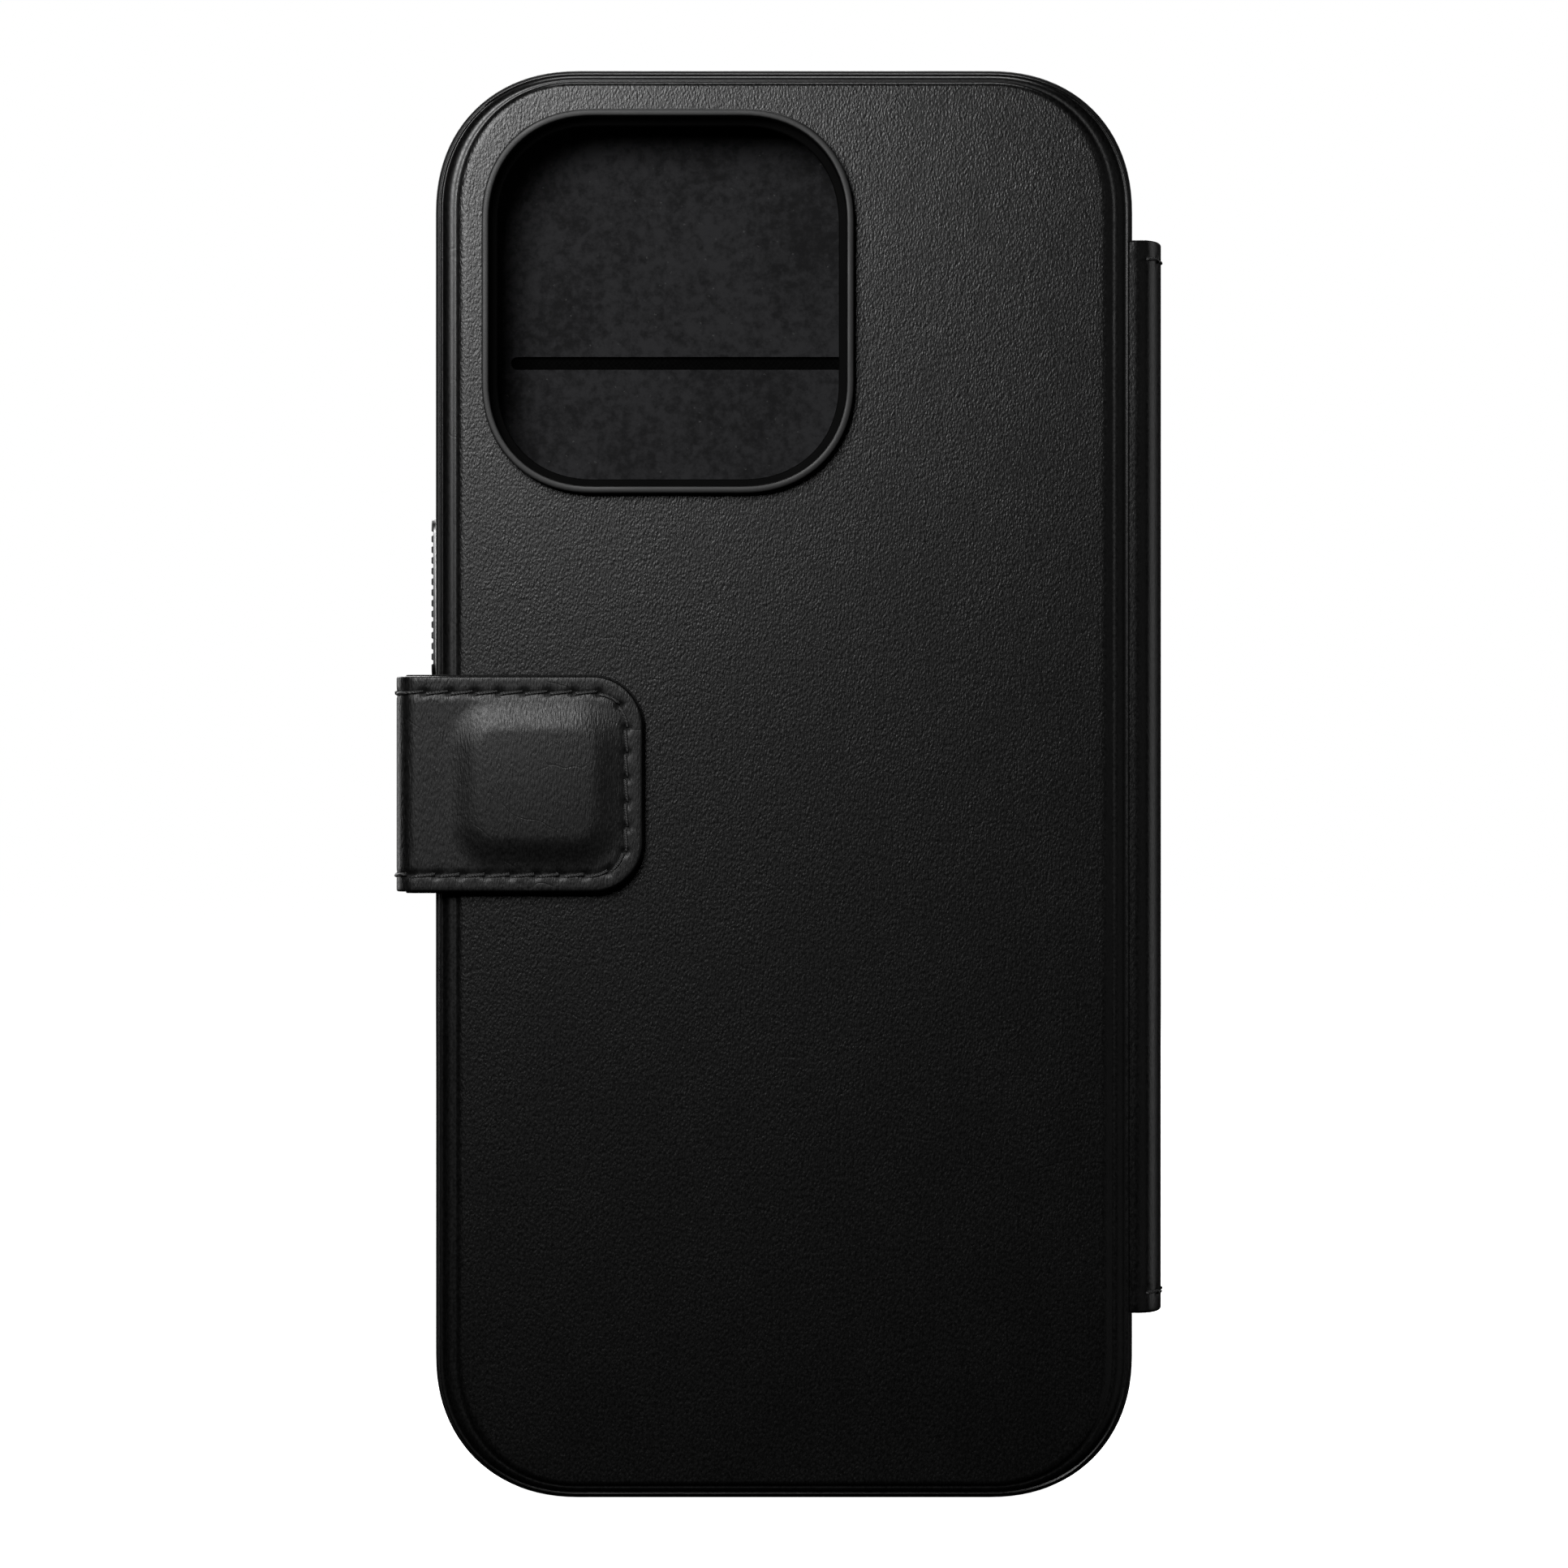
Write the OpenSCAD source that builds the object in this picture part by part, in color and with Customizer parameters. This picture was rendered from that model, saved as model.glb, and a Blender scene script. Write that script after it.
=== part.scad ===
// Folio wallet case for a phone: a leather-backed shell, a rolled spine, a front cover with
// card slots in its lining, and a magnetic strap that wraps the open edge.
// It stands on its short edge. X is the width, Z is the length, and -Y is the leather back.
// The origin is the middle of the bottom edge, in the plane the back of the phone rests on.

/* [Phone bay] */
// Width of the phone the shell is moulded for
phone_w = 71.5; // [58:0.1:88]
// Length of that phone
phone_h = 149.6; // [124:0.1:182]
// Thickness of that phone
phone_t = 8.25; // [6.5:0.05:11]
// Reach of the phone's corner curve along each side
phone_corner = 13.8; // [8:0.1:16]
// Squareness of the corner curve: 2 is a circle, more is squarer
squareness = 2.18; // [2:0.01:3]

/* [Shell] */
// Thickness of the bumper wall around the phone
wall = 1.5; // [1.3:0.1:2.5]
// Height of the bumper lip in front of the phone
lip_t = 0.9; // [0.6:0.1:1.5]
// How far the lip reaches over the phone's face
lip_reach = 1; // [0.5:0.1:1.5]
// Thickness of the microfibre under the phone
lining_t = 0.4; // [0.3:0.1:0.8]
// Thickness of the hard plate in the back
plate_t = 1.1; // [0.8:0.1:2]
// How far the plate's edge lies inside the bumper's outer edge
plate_inset = 1; // [0.8:0.1:1.2]
// Thickness of the leather on the back
leather_t = 0.9; // [0.6:0.1:1.4]
// Width of bumper left showing around the leather
leather_inset = 0.35; // [0.2:0.05:0.8]

/* [Camera ring] */
// Outer width of the ring
ring_w = 39.7; // [32:0.1:48]
// Outer length of the ring
ring_h = 41; // [33:0.1:49]
// Reach of the ring's corner curve
ring_corner = 12; // [8:0.1:14]
// Width of the ring's front face
ring_face = 0.74; // [0.6:0.02:1.4]
// Width of the step from the ring's outer edge to the window in the plate
ring_step = 1.58; // [1.5:0.02:2.4]
// Height of the ring above the leather
ring_proud = 1.9; // [1:0.1:3]
// Ring centre, in from the phone's side
camera_from_side = 23.35; // [22.5:0.05:26]
// Ring centre, down from the phone's top
camera_from_top = 23.3; // [22.5:0.05:26]

/* [Buttons] */
// Length of the knurled side button
side_button_len = 17.4; // [12:0.1:22]
// Centre of the side button, down from the phone's top
side_button_from_top = 54.8; // [48:0.1:56]
// Length of each volume button
volume_len = 11; // [8:0.1:13]
// Centre of the upper volume button, down from the phone's top
volume_up_from_top = 47; // [44:0.1:49]
// Centre of the lower volume button, down from the phone's top
volume_down_from_top = 61.5; // [60:0.1:66]
// Length of the action button
action_len = 8; // [6:0.1:10]
// Centre of the action button, down from the phone's top
action_from_top = 33.5; // [30:0.1:36]
// Width of every button's cap
cap_w = 3.6; // [2.8:0.1:4.6]
// Height of every cap above the bumper
cap_proud = 0.65; // [0.4:0.05:1]
// Depth of every cap in its pocket, when released
cap_seat = 0.5; // [0.4:0.05:0.6]
// Travel of every button
travel = 0.4; // [0.2:0.05:0.45]
// Spacing of the grooves across the side button
groove_pitch = 1.15; // [0.9:0.05:1.6]
// Width of each groove
groove_w = 0.5; // [0.3:0.05:0.7]
// Depth of each groove
groove_d = 0.2; // [0.1:0.05:0.3]

/* [Ports] */
// Width of the charging opening in the bottom edge
port_w = 12.5; // [10:0.1:16]
// Height of the charging opening, front to back
port_t = 6.2; // [5:0.1:7]
// Width of each sound opening beside it
sound_w = 9; // [6:0.1:11]
// Height of each sound opening, front to back
sound_t = 2.6; // [2:0.1:4]
// Centre of each sound opening, out from the middle
sound_x = 16.5; // [14:0.1:18]

/* [Spine] */
// Bare bumper below the spine
spine_bottom_gap = 19.7; // [12:0.1:28]
// Bare bumper above the spine
spine_top_gap = 18.1; // [12:0.1:28]
// How far the spine stands out beyond the bumper
spine_proud = 3.4; // [3:0.1:4.5]
// Fold lines, out from the bumper
fold_gap = 1.1; // [1:0.05:1.2]
// Thickness of the spine's leather
spine_leather_t = 1; // [0.7:0.1:1.2]
// Thickness of the spine's lining
spine_lining_t = 0.4; // [0.3:0.1:0.6]
// Thickness of the leather flap that ties the spine into the shell
flap_t = 0.6; // [0.4:0.1:0.8]
// Width of that flap
flap_w = 2.4; // [1.8:0.1:6]
// End stitching, in from each end of the spine
end_stitch_inset = 2.1; // [1.5:0.1:4]

/* [Cover] */
// Air gap between the bumper's lip and the cover
cover_gap = 0.35; // [0.3:0.05:0.8]
// Thickness of the microfibre facing the phone
cover_lining_t = 0.5; // [0.3:0.1:0.8]
// Depth of the space that holds the cards
pocket_depth = 1.6; // [1.5:0.1:3]
// Thickness of the stiffening board
board_t = 0.8; // [0.5:0.1:1.5]
// Thickness of the leather outside
cover_leather_t = 1; // [0.7:0.1:1.4]
// Width of the sewn margin around the pockets
margin_w = 3.2; // [2.8:0.1:5]
// Length of each card slot
slot_len = 59.2; // [50:0.1:64]
// Height of each card slot
slot_h = 1.4; // [0.8:0.1:2.5]
// First slot, down from the top of the cover
slot_from_top = 30.7; // [26:0.1:36]
// Spacing of the slots
slot_pitch = 13.5; // [10:0.5:18]
// Thickness of each pocket sheet behind a slot
sheet_t = 0.3; // [0.2:0.05:0.4]

/* [Strap] */
// Height of the strap along the edge
strap_h = 23.3; // [18:0.1:30]
// Length of the end that lies on the back, past the fold
tab_len = 25.6; // [23:0.1:34]
// Fold lines, out from the bumper
strap_gap = 3.25; // [2.8:0.05:5]
// Thickness of the strap's leather
strap_leather_t = 1; // [0.7:0.1:1.3]
// Thickness of the strap's lining
strap_lining_t = 0.8; // [0.5:0.1:1]
// Radius of the end's corners
tab_corner = 5.5; // [3:0.1:8]
// Air gap between the strap's end and the back
tab_gap = 0.2; // [0.2:0.05:0.6]
// Width of the raised magnet pad
pad_w = 17.8; // [14:0.1:18]
// Space between the pad and the sewn line along the strap's edges
pad_clear = 0.05; // [0.05:0.05:2]
// Height of the pad above the strap
pad_proud = 1.5; // [1:0.1:2.5]
// Radius of the pad's corners
pad_corner = 3.5; // [2:0.1:5]
// Centre of the pad, in from the strap's end
pad_from_end = 11.5; // [11:0.1:14]
// Width of the magnet
magnet_w = 12; // [8:0.5:13]
// Pad kept above and below the magnet
magnet_margin = 3.45; // [1.5:0.05:5]
// Thickness of the magnet
magnet_t = 1; // [0.6:0.1:1.2]
// Side of the square steel latch plate
latch_side = 14; // [10:0.5:16]
// Thickness of the latch plate
latch_t = 0.5; // [0.3:0.1:0.6]

/* [Stitching] */
// Thickness of the thread above the leather
thread_t = 0.2; // [0.1:0.05:0.3]
// Width of the sewn line
thread_w = 0.5; // [0.3:0.1:0.8]
// Sewn line, in from the leather's edge
stitch_inset = 1.9; // [1.6:0.1:2.2]

/* [Hidden] */
$fn = 48;
fit = 0.05;           // clearance of a glued or seated piece
slide_fit = 0.15;     // clearance of a button in its pocket
cut = 1;              // how far a cutting shape runs past the face it cuts
corner_steps = 16;    // straight lines in each corner curve

// the shell, from the back to the front
body_w = phone_w + 2 * wall;
body_h = phone_h + 2 * wall;
body_corner = phone_corner + wall;
plate_back = -lining_t - plate_t;
leather_back = plate_back - leather_t;
lip_front = phone_t + lip_t;
phone_top = body_h - wall;

// the camera ring
ring_x = camera_from_side - phone_w / 2;
ring_z = phone_top - camera_from_top;
ring_back = leather_back - ring_proud;

// buttons
cap_y = phone_t / 2;
pocket_floor = cap_seat + travel + fit;
pusher_w = 2;
pusher_margin = 2.2;
groove_count = floor(side_button_len / groove_pitch) - 2;

// the cover, from the phone side to the outside
cover_in = lip_front + cover_gap;
pocket_in = cover_in + cover_lining_t;
board_in = pocket_in + pocket_depth;
cover_leather_in = board_in + board_t;
cover_out = cover_leather_in + cover_leather_t;
board_inset = 1.5;

// the spine: an arc between two fold lines
spine_t = spine_leather_t + spine_lining_t;
spine_bottom = spine_bottom_gap;
spine_top = body_h - spine_top_gap;
fold_x = body_w / 2 + fold_gap;
back_fold_y = plate_back;
front_fold_y = cover_out - cover_leather_t / 2;
spine_chord = front_fold_y - back_fold_y;
spine_rise = spine_proud - spine_t / 2 - fold_gap;
spine_r = (spine_chord * spine_chord / 4 + spine_rise * spine_rise) / (2 * spine_rise);
spine_half_angle = asin(spine_chord / 2 / spine_r);
spine_centre = [fold_x + spine_rise - spine_r, (front_fold_y + back_fold_y) / 2];
cover_edge = fold_x - spine_t / 2 - 0.75;

// the strap: a straight band between two fold lines, and the end that lies on the back
strap_t = strap_leather_t + strap_lining_t;
strap_z = body_h / 2;
strap_fold_x = -body_w / 2 - strap_gap;
strap_front_fold_y = board_in + board_t / 2;
tab_in = leather_back - tab_gap;
tab_seam = tab_in - strap_lining_t;
tab_out = tab_in - strap_t;
strap_back_fold_y = (tab_in + tab_out) / 2;
fold_clear = 0.15;
tab_start = strap_fold_x + strap_t / 2 + fold_clear;
tab_end = strap_fold_x + tab_len;
pad_x = tab_end - pad_from_end;
pad_h = strap_h - 2 * (stitch_inset + thread_w / 2 + pad_clear);
pad_skin = 0.8;
magnet_h = pad_h - 2 * magnet_margin;
tongue_w = 9;

// a corner curve from the side (0) to the end (1) of one quarter
function curve(r, i) =
    let (a = 90 * i / corner_steps)
    [r * pow(cos(a), 2 / squareness), r * pow(sin(a), 2 / squareness)];

// rectangle with soft corners, centred
module soft_rect(w, h, r) {
    x = w / 2 - r;
    y = h / 2 - r;
    polygon(concat(
        [for (i = [0:corner_steps]) [x, y] + curve(r, i)],
        [for (i = [corner_steps:-1:0]) [-x - curve(r, i)[0], y + curve(r, i)[1]]],
        [for (i = [0:corner_steps]) [-x, -y] - curve(r, i)],
        [for (i = [corner_steps:-1:0]) [x + curve(r, i)[0], -y - curve(r, i)[1]]]
    ));
}

// the case's outline, drawn in by a margin
module outline(inset = 0) {
    translate([0, body_h / 2])
        soft_rect(body_w - 2 * inset, body_h - 2 * inset, body_corner - inset);
}

// the ring's outline, drawn in by a margin
module ring_outline(inset = 0) {
    translate([ring_x, ring_z])
        soft_rect(ring_w - 2 * inset, ring_h - 2 * inset, ring_corner - inset);
}

// the cover's outline: the case's, cut straight along the spine
module cover_outline(inset = 0) {
    intersection() {
        outline(inset);
        translate([-body_w, 0]) square([body_w + cover_edge - inset, body_h]);
    }
}

// the strap's end, drawn in by a margin on its three free sides
module tab_outline(inset = 0) {
    r = tab_corner - inset;
    half = strap_h / 2 - inset;
    translate([0, strap_z]) {
        translate([tab_start, -half]) square([tab_end - tab_corner - tab_start, 2 * half]);
        hull() for (side = [-1, 1]) {
            translate([tab_end - tab_corner, side * (half - r)]) circle(r);
        }
    }
}

// a slot with round ends, centred
module round_slot(w, h) {
    hull() for (side = [-1, 1]) translate([side * (w - h) / 2, 0]) circle(d = h);
}

// a flat layer between two depths, drawn in X and Z
module layer(from, to) {
    translate([0, to, 0]) rotate([90, 0, 0]) linear_extrude(to - from) children();
}

// the place of the flap that ties in the spine
module flap_space(gap = 0) {
    translate([body_w / 2 - flap_w - gap, plate_back - gap, spine_bottom - gap])
        cube([flap_w + cut * sign(gap), flap_t + 2 * gap, spine_top - spine_bottom + 2 * gap]);
}

// ---- buttons: built at the wall on +X, and mirrored for the other side

module on_side(side) {
    mirror([side < 0 ? 1 : 0, 0, 0]) children();
}

module cap(length, from_top) {
    translate([body_w / 2 - cap_seat, cap_y - cap_w / 2, phone_top - from_top - length / 2])
        cube([cap_seat + cap_proud, cap_w, length]);
}

module pusher(length, from_top) {
    depth = wall - cap_seat - 2 * fit;
    translate([body_w / 2 - cap_seat - depth, cap_y - pusher_w / 2,
        phone_top - from_top - length / 2 + pusher_margin])
        cube([depth, pusher_w, length - 2 * pusher_margin]);
}

module button_pocket(length, from_top) {
    z = phone_top - from_top;
    w = cap_w + 2 * slide_fit;
    h = length + 2 * slide_fit;
    translate([body_w / 2 - pocket_floor, cap_y - w / 2, z - h / 2])
        cube([pocket_floor + cut, w, h]);
    hole_w = pusher_w + 2 * slide_fit;
    hole_h = length - 2 * pusher_margin + 2 * slide_fit;
    translate([body_w / 2 - wall - cut, cap_y - hole_w / 2, z - hole_h / 2])
        cube([wall + cut, hole_w, hole_h]);
}

// ---- shell

module back_plate() {
    color("#2a2a2c") difference() {
        layer(plate_back, -lining_t) outline(plate_inset);
        layer(plate_back - cut, cut) ring_outline(-fit);
        translate([pad_x - latch_side / 2 - fit, plate_back - cut, strap_z - latch_side / 2 - fit])
            cube([latch_side + 2 * fit, latch_t + cut, latch_side + 2 * fit]);
        flap_space(fit);
    }
}

module bumper_rim() {
    color("#1a1a1b") difference() {
        layer(plate_back, lip_front) outline();
        layer(-lining_t, phone_t) outline(wall);
        layer(phone_t - cut, lip_front + cut) outline(wall + lip_reach);
        layer(plate_back - cut, -lining_t) outline(plate_inset - fit);
        flap_space(fit);
        on_side(-1) button_pocket(side_button_len, side_button_from_top);
        button_pocket(volume_len, volume_up_from_top);
        button_pocket(volume_len, volume_down_from_top);
        button_pocket(action_len, action_from_top);
        translate([0, cap_y, -cut]) linear_extrude(wall + 2 * cut) {
            round_slot(port_w, port_t);
            for (side = [-1, 1]) translate([side * sound_x, 0]) round_slot(sound_w, sound_t);
        }
    }
}

module back_leather() {
    color("#1d1c1d") difference() {
        layer(leather_back, plate_back) outline(leather_inset);
        layer(leather_back - cut, plate_back + cut) ring_outline(-fit);
    }
}

module camera_ring() {
    color("#4a4b4e") difference() {
        layer(ring_back, -lining_t) ring_outline();
        layer(ring_back - cut, plate_back) ring_outline(ring_face);
        layer(ring_back - cut, cut) ring_outline(ring_step);
    }
}

module tray_lining() {
    color("#3c3d40") difference() {
        layer(-lining_t, 0) outline(wall + fit);
        layer(-lining_t - cut, cut) ring_outline(ring_step);
    }
}

module latch_plate() {
    color("#8d8f93")
        translate([pad_x - latch_side / 2, plate_back, strap_z - latch_side / 2])
        cube([latch_side, latch_t, latch_side]);
}

module spine_root() {
    color("#1b1a1b") flap_space();
}

// ---- buttons

module side_button() {
    color("#55565a") on_side(-1) difference() {
        cap(side_button_len, side_button_from_top);
        for (i = [0:groove_count - 1]) {
            translate([body_w / 2 + cap_proud - groove_d, cap_y - cap_w,
                phone_top - side_button_from_top - groove_w / 2
                    + (i - (groove_count - 1) / 2) * groove_pitch])
                cube([groove_d + cut, 2 * cap_w, groove_w]);
        }
    }
}

module side_button_pad() {
    color("#222224") on_side(-1) pusher(side_button_len, side_button_from_top);
}

module volume_up_button() {
    color("#55565a") cap(volume_len, volume_up_from_top);
}

module volume_up_pad() {
    color("#222224") pusher(volume_len, volume_up_from_top);
}

module volume_down_button() {
    color("#55565a") cap(volume_len, volume_down_from_top);
}

module volume_down_pad() {
    color("#222224") pusher(volume_len, volume_down_from_top);
}

module action_button() {
    color("#55565a") cap(action_len, action_from_top);
}

module action_button_pad() {
    color("#222224") pusher(action_len, action_from_top);
}

// ---- spine

// the spine's section between two radii, short of the folds by a distance
module spine_section(r_in, r_out, short = 0) {
    half = spine_half_angle - short / spine_r * 180 / PI;
    reach = 2 * spine_r;
    translate(spine_centre) intersection() {
        difference() {
            circle(r_out);
            circle(r_in);
        }
        polygon([[0, 0], reach * [cos(half), -sin(half)], reach * [cos(half), sin(half)]]);
    }
}

// a curved sheet along the spine
module spine_sheet(r_in, r_out, bottom, top, short) {
    translate([0, 0, bottom]) linear_extrude(top - bottom) spine_section(r_in, r_out, short);
}

module spine_leather() {
    color("#1b1a1b") translate([0, 0, spine_bottom]) linear_extrude(spine_top - spine_bottom) {
        spine_section(spine_r - spine_t / 2 + spine_lining_t, spine_r + spine_t / 2);
        for (y = [back_fold_y, front_fold_y]) {
            translate([fold_x, y]) circle(d = spine_t - 2 * fit);
        }
    }
}

module spine_lining() {
    color("#303135")
        spine_sheet(spine_r - spine_t / 2, spine_r - spine_t / 2 + spine_lining_t,
            spine_bottom, spine_top, spine_t / 2 + fit);
}

module spine_thread() {
    color("#2b2b2d")
        for (z = [spine_bottom + end_stitch_inset, spine_top - end_stitch_inset]) {
            spine_sheet(spine_r + spine_t / 2, spine_r + spine_t / 2 + thread_t,
                z - thread_w / 2, z + thread_w / 2, spine_t);
        }
}

// ---- cover

module cover_leather() {
    color("#1d1c1d") layer(cover_leather_in, cover_out) cover_outline();
}

module cover_board() {
    color("#6b5f50") difference() {
        layer(board_in, cover_leather_in) cover_outline(board_inset);
        translate([-body_w / 2 - cut, board_in - cut, strap_z - strap_h / 2 - fit])
            cube([tongue_w + fit + cut, board_t + 2 * cut, strap_h + 2 * fit]);
    }
}

module cover_lining() {
    color("#3c3d40") difference() {
        layer(cover_in, board_in) cover_outline();
        layer(pocket_in, board_in + cut) cover_outline(margin_w);
        layer(cover_in - cut, pocket_in + cut)
            for (i = [0:2]) translate([0, body_h - slot_from_top - i * slot_pitch])
                round_slot(slot_len, slot_h);
    }
}

// the sheet behind one slot: it reaches from just above its slot to the bottom margin
module card_pocket(index) {
    top = body_h - slot_from_top - index * slot_pitch + slot_h;
    depth = pocket_in + (index + 1) * pocket_depth / 3.2 - sheet_t;
    layer(depth, depth + sheet_t) intersection() {
        cover_outline(margin_w + fit);
        translate([-body_w / 2, 0]) square([body_w, top]);
    }
}

module card_pocket_upper() {
    color("#34353a") card_pocket(0);
}

module card_pocket_middle() {
    color("#34353a") card_pocket(1);
}

module card_pocket_lower() {
    color("#34353a") card_pocket(2);
}

module cover_thread() {
    color("#2b2b2d") layer(cover_out, cover_out + thread_t) difference() {
        cover_outline(stitch_inset - thread_w / 2);
        cover_outline(stitch_inset + thread_w / 2);
    }
}

module strap_root() {
    color("#1d1c1d") union() {
        translate([tab_start, strap_front_fold_y - strap_t / 2, strap_z - strap_h / 2])
            cube([-body_w / 2 - fit - tab_start, strap_t, strap_h]);
        translate([-body_w / 2 - 2 * fit, board_in, strap_z - strap_h / 2])
            cube([tongue_w + 2 * fit, board_t, strap_h]);
    }
}

// ---- strap: the band around the edge

module strap_side_leather() {
    color("#1d1c1d") translate([0, 0, strap_z - strap_h / 2]) union() {
        for (y = [strap_front_fold_y, strap_back_fold_y]) {
            translate([strap_fold_x, y, 0]) cylinder(d = strap_t - 2 * fit, h = strap_h);
        }
        translate([strap_fold_x - strap_t / 2, strap_back_fold_y, 0])
            cube([strap_leather_t, strap_front_fold_y - strap_back_fold_y, strap_h]);
    }
}

module strap_side_lining() {
    start = strap_back_fold_y + strap_t / 2 + fit;
    end = strap_front_fold_y - strap_t / 2 - fit;
    color("#303135") translate([strap_fold_x + strap_t / 2 - strap_lining_t, start,
        strap_z - strap_h / 2])
        cube([strap_lining_t, end - start, strap_h]);
}

module strap_side_thread() {
    color("#2b2b2d") for (side = [-1, 1]) {
        translate([strap_fold_x - strap_t / 2 - thread_t, strap_back_fold_y + strap_t / 2,
            strap_z + side * (strap_h / 2 - stitch_inset) - thread_w / 2])
            cube([thread_t, strap_front_fold_y - strap_back_fold_y - strap_t, thread_w]);
    }
}

// ---- strap: the end that lies on the back

module pad_outline(inset = 0) {
    r = pad_corner - inset;
    translate([pad_x, strap_z]) offset(r = r)
        square([pad_w - 2 * (inset + r), pad_h - 2 * (inset + r)], center = true);
}

module strap_tab_leather() {
    color("#1d1c1d") difference() {
        union() {
            layer(tab_out, tab_seam) tab_outline();
            layer(tab_out - pad_proud, tab_out) pad_outline();
        }
        layer(tab_out - pad_proud + pad_skin, tab_seam + cut) pad_outline(pad_skin);
    }
}

module strap_tab_lining() {
    color("#303135") layer(tab_seam, tab_in) tab_outline();
}

module strap_tab_thread() {
    color("#2b2b2d") layer(tab_out - thread_t, tab_out) difference() {
        tab_outline(stitch_inset - thread_w / 2);
        tab_outline(stitch_inset + thread_w / 2);
    }
}

module strap_padding() {
    color("#6e6e70") difference() {
        layer(tab_out - pad_proud + pad_skin, tab_seam) pad_outline(pad_skin + fit);
        layer(tab_seam - magnet_t - fit, tab_seam + cut) magnet_outline(fit);
    }
}

module magnet_outline(grow = 0) {
    translate([pad_x, strap_z])
        square([magnet_w + 2 * grow, magnet_h + 2 * grow], center = true);
}

module strap_magnet() {
    color("#a8aaae") layer(tab_seam - magnet_t, tab_seam) magnet_outline();
}

back_plate();
bumper_rim();
back_leather();
camera_ring();
tray_lining();
latch_plate();
spine_root();
side_button();
side_button_pad();
volume_up_button();
volume_up_pad();
volume_down_button();
volume_down_pad();
action_button();
action_button_pad();
spine_leather();
spine_lining();
spine_thread();
cover_leather();
cover_board();
cover_lining();
card_pocket_upper();
card_pocket_middle();
card_pocket_lower();
cover_thread();
strap_root();
strap_side_leather();
strap_side_lining();
strap_side_thread();
strap_tab_leather();
strap_tab_lining();
strap_tab_thread();
strap_padding();
strap_magnet();
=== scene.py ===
"""Phone wallet case: the looks of every piece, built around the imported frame."""

import bisect
import logging
import math
from collections.abc import Callable, Sequence
from dataclasses import dataclass, field
from enum import Enum

import bmesh
import bpy
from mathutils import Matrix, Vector


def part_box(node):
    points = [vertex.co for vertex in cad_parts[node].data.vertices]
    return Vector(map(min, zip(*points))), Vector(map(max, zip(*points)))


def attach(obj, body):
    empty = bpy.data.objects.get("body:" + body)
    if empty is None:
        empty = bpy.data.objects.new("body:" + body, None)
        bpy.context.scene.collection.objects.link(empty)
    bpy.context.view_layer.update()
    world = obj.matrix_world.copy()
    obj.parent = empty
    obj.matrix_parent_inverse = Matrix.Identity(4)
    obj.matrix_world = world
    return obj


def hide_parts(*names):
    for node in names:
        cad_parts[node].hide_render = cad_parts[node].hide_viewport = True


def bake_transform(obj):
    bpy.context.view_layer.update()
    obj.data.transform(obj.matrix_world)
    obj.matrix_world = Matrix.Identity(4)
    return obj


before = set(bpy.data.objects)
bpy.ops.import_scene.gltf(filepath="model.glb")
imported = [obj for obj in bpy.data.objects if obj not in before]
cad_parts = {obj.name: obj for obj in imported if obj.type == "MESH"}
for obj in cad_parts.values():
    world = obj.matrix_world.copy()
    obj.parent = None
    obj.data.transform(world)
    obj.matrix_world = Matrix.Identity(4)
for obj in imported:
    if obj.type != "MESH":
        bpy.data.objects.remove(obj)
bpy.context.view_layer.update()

MM = 0.001
SQUARENESS = 2.18
STITCH_PITCH = 2.64
STITCH_INSET = 1.9
NOISE_LOW, NOISE_HIGH = 0.3, 0.7
WELD = 1e-4

log = logging.getLogger("wallet_case")


# ---- measures


@dataclass(frozen=True)
class Box:
    """Lowest and highest corners of a node, in millimetres."""

    lo: Vector
    hi: Vector

    @classmethod
    def of(cls, node: str) -> "Box":
        """The box of one CAD node."""
        lo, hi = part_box(node)
        return cls(Vector(lo) / MM, Vector(hi) / MM)

    @property
    def middle(self) -> Vector:
        """The point halfway between the corners."""
        return (self.lo + self.hi) / 2

    @property
    def size(self) -> Vector:
        """The length of each side."""
        return self.hi - self.lo


@dataclass(frozen=True)
class SoftRect:
    """A rectangle with soft corners, drawn in X and Z, in millimetres."""

    centre: tuple[float, float]
    size: tuple[float, float]
    reach: float
    corner_steps: int = 20
    side_steps: tuple[int, int] = (1, 1)
    limit: float = math.inf

    @classmethod
    def of(cls, node: str, reach: float, **extra: object) -> "SoftRect":
        """A rectangle round the box of one CAD node."""
        box = Box.of(node)
        return cls((box.middle.x, box.middle.z), (box.size.x, box.size.z), reach, **extra)

    def ring(self, inset: float, y: float, inset_z: float | None = None) -> list[Vector]:
        """The outline, drawn in by a margin.

        Args:
            inset: the margin at the left and right.
            y: the depth at which the outline lies.
            inset_z: the margin at the top and bottom, the same if left out.

        Returns:
            The outline's points, from the right side over the top.
        """
        across = self.size[0] / 2 - self.reach
        up = self.size[1] / 2 - self.reach
        reach_x = self.reach - inset
        reach_z = self.reach - (inset if inset_z is None else inset_z)
        power = 2 / SQUARENESS
        flat: list[tuple[float, float]] = []
        for quarter, (side, rise) in enumerate(((1, 1), (-1, 1), (-1, -1), (1, -1))):
            for step in range(self.corner_steps + 1):
                turn = math.pi / 2 * step / self.corner_steps
                if quarter % 2:
                    turn = math.pi / 2 - turn
                x = side * (across + reach_x * max(math.cos(turn), 0) ** power)
                z = rise * (up + reach_z * max(math.sin(turn), 0) ** power)
                flat.append((x, z))
            steps = self.side_steps[quarter % 2]
            here = Vector(flat[-1])
            ahead = Vector((-here.x, here.y) if quarter % 2 == 0 else (here.x, -here.y))
            flat += [tuple(here.lerp(ahead, i / steps)) for i in range(1, steps)]
        edge = self.limit - inset
        return [
            Vector((min(x + self.centre[0], edge), y, z + self.centre[1])) for x, z in flat
        ]


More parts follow.
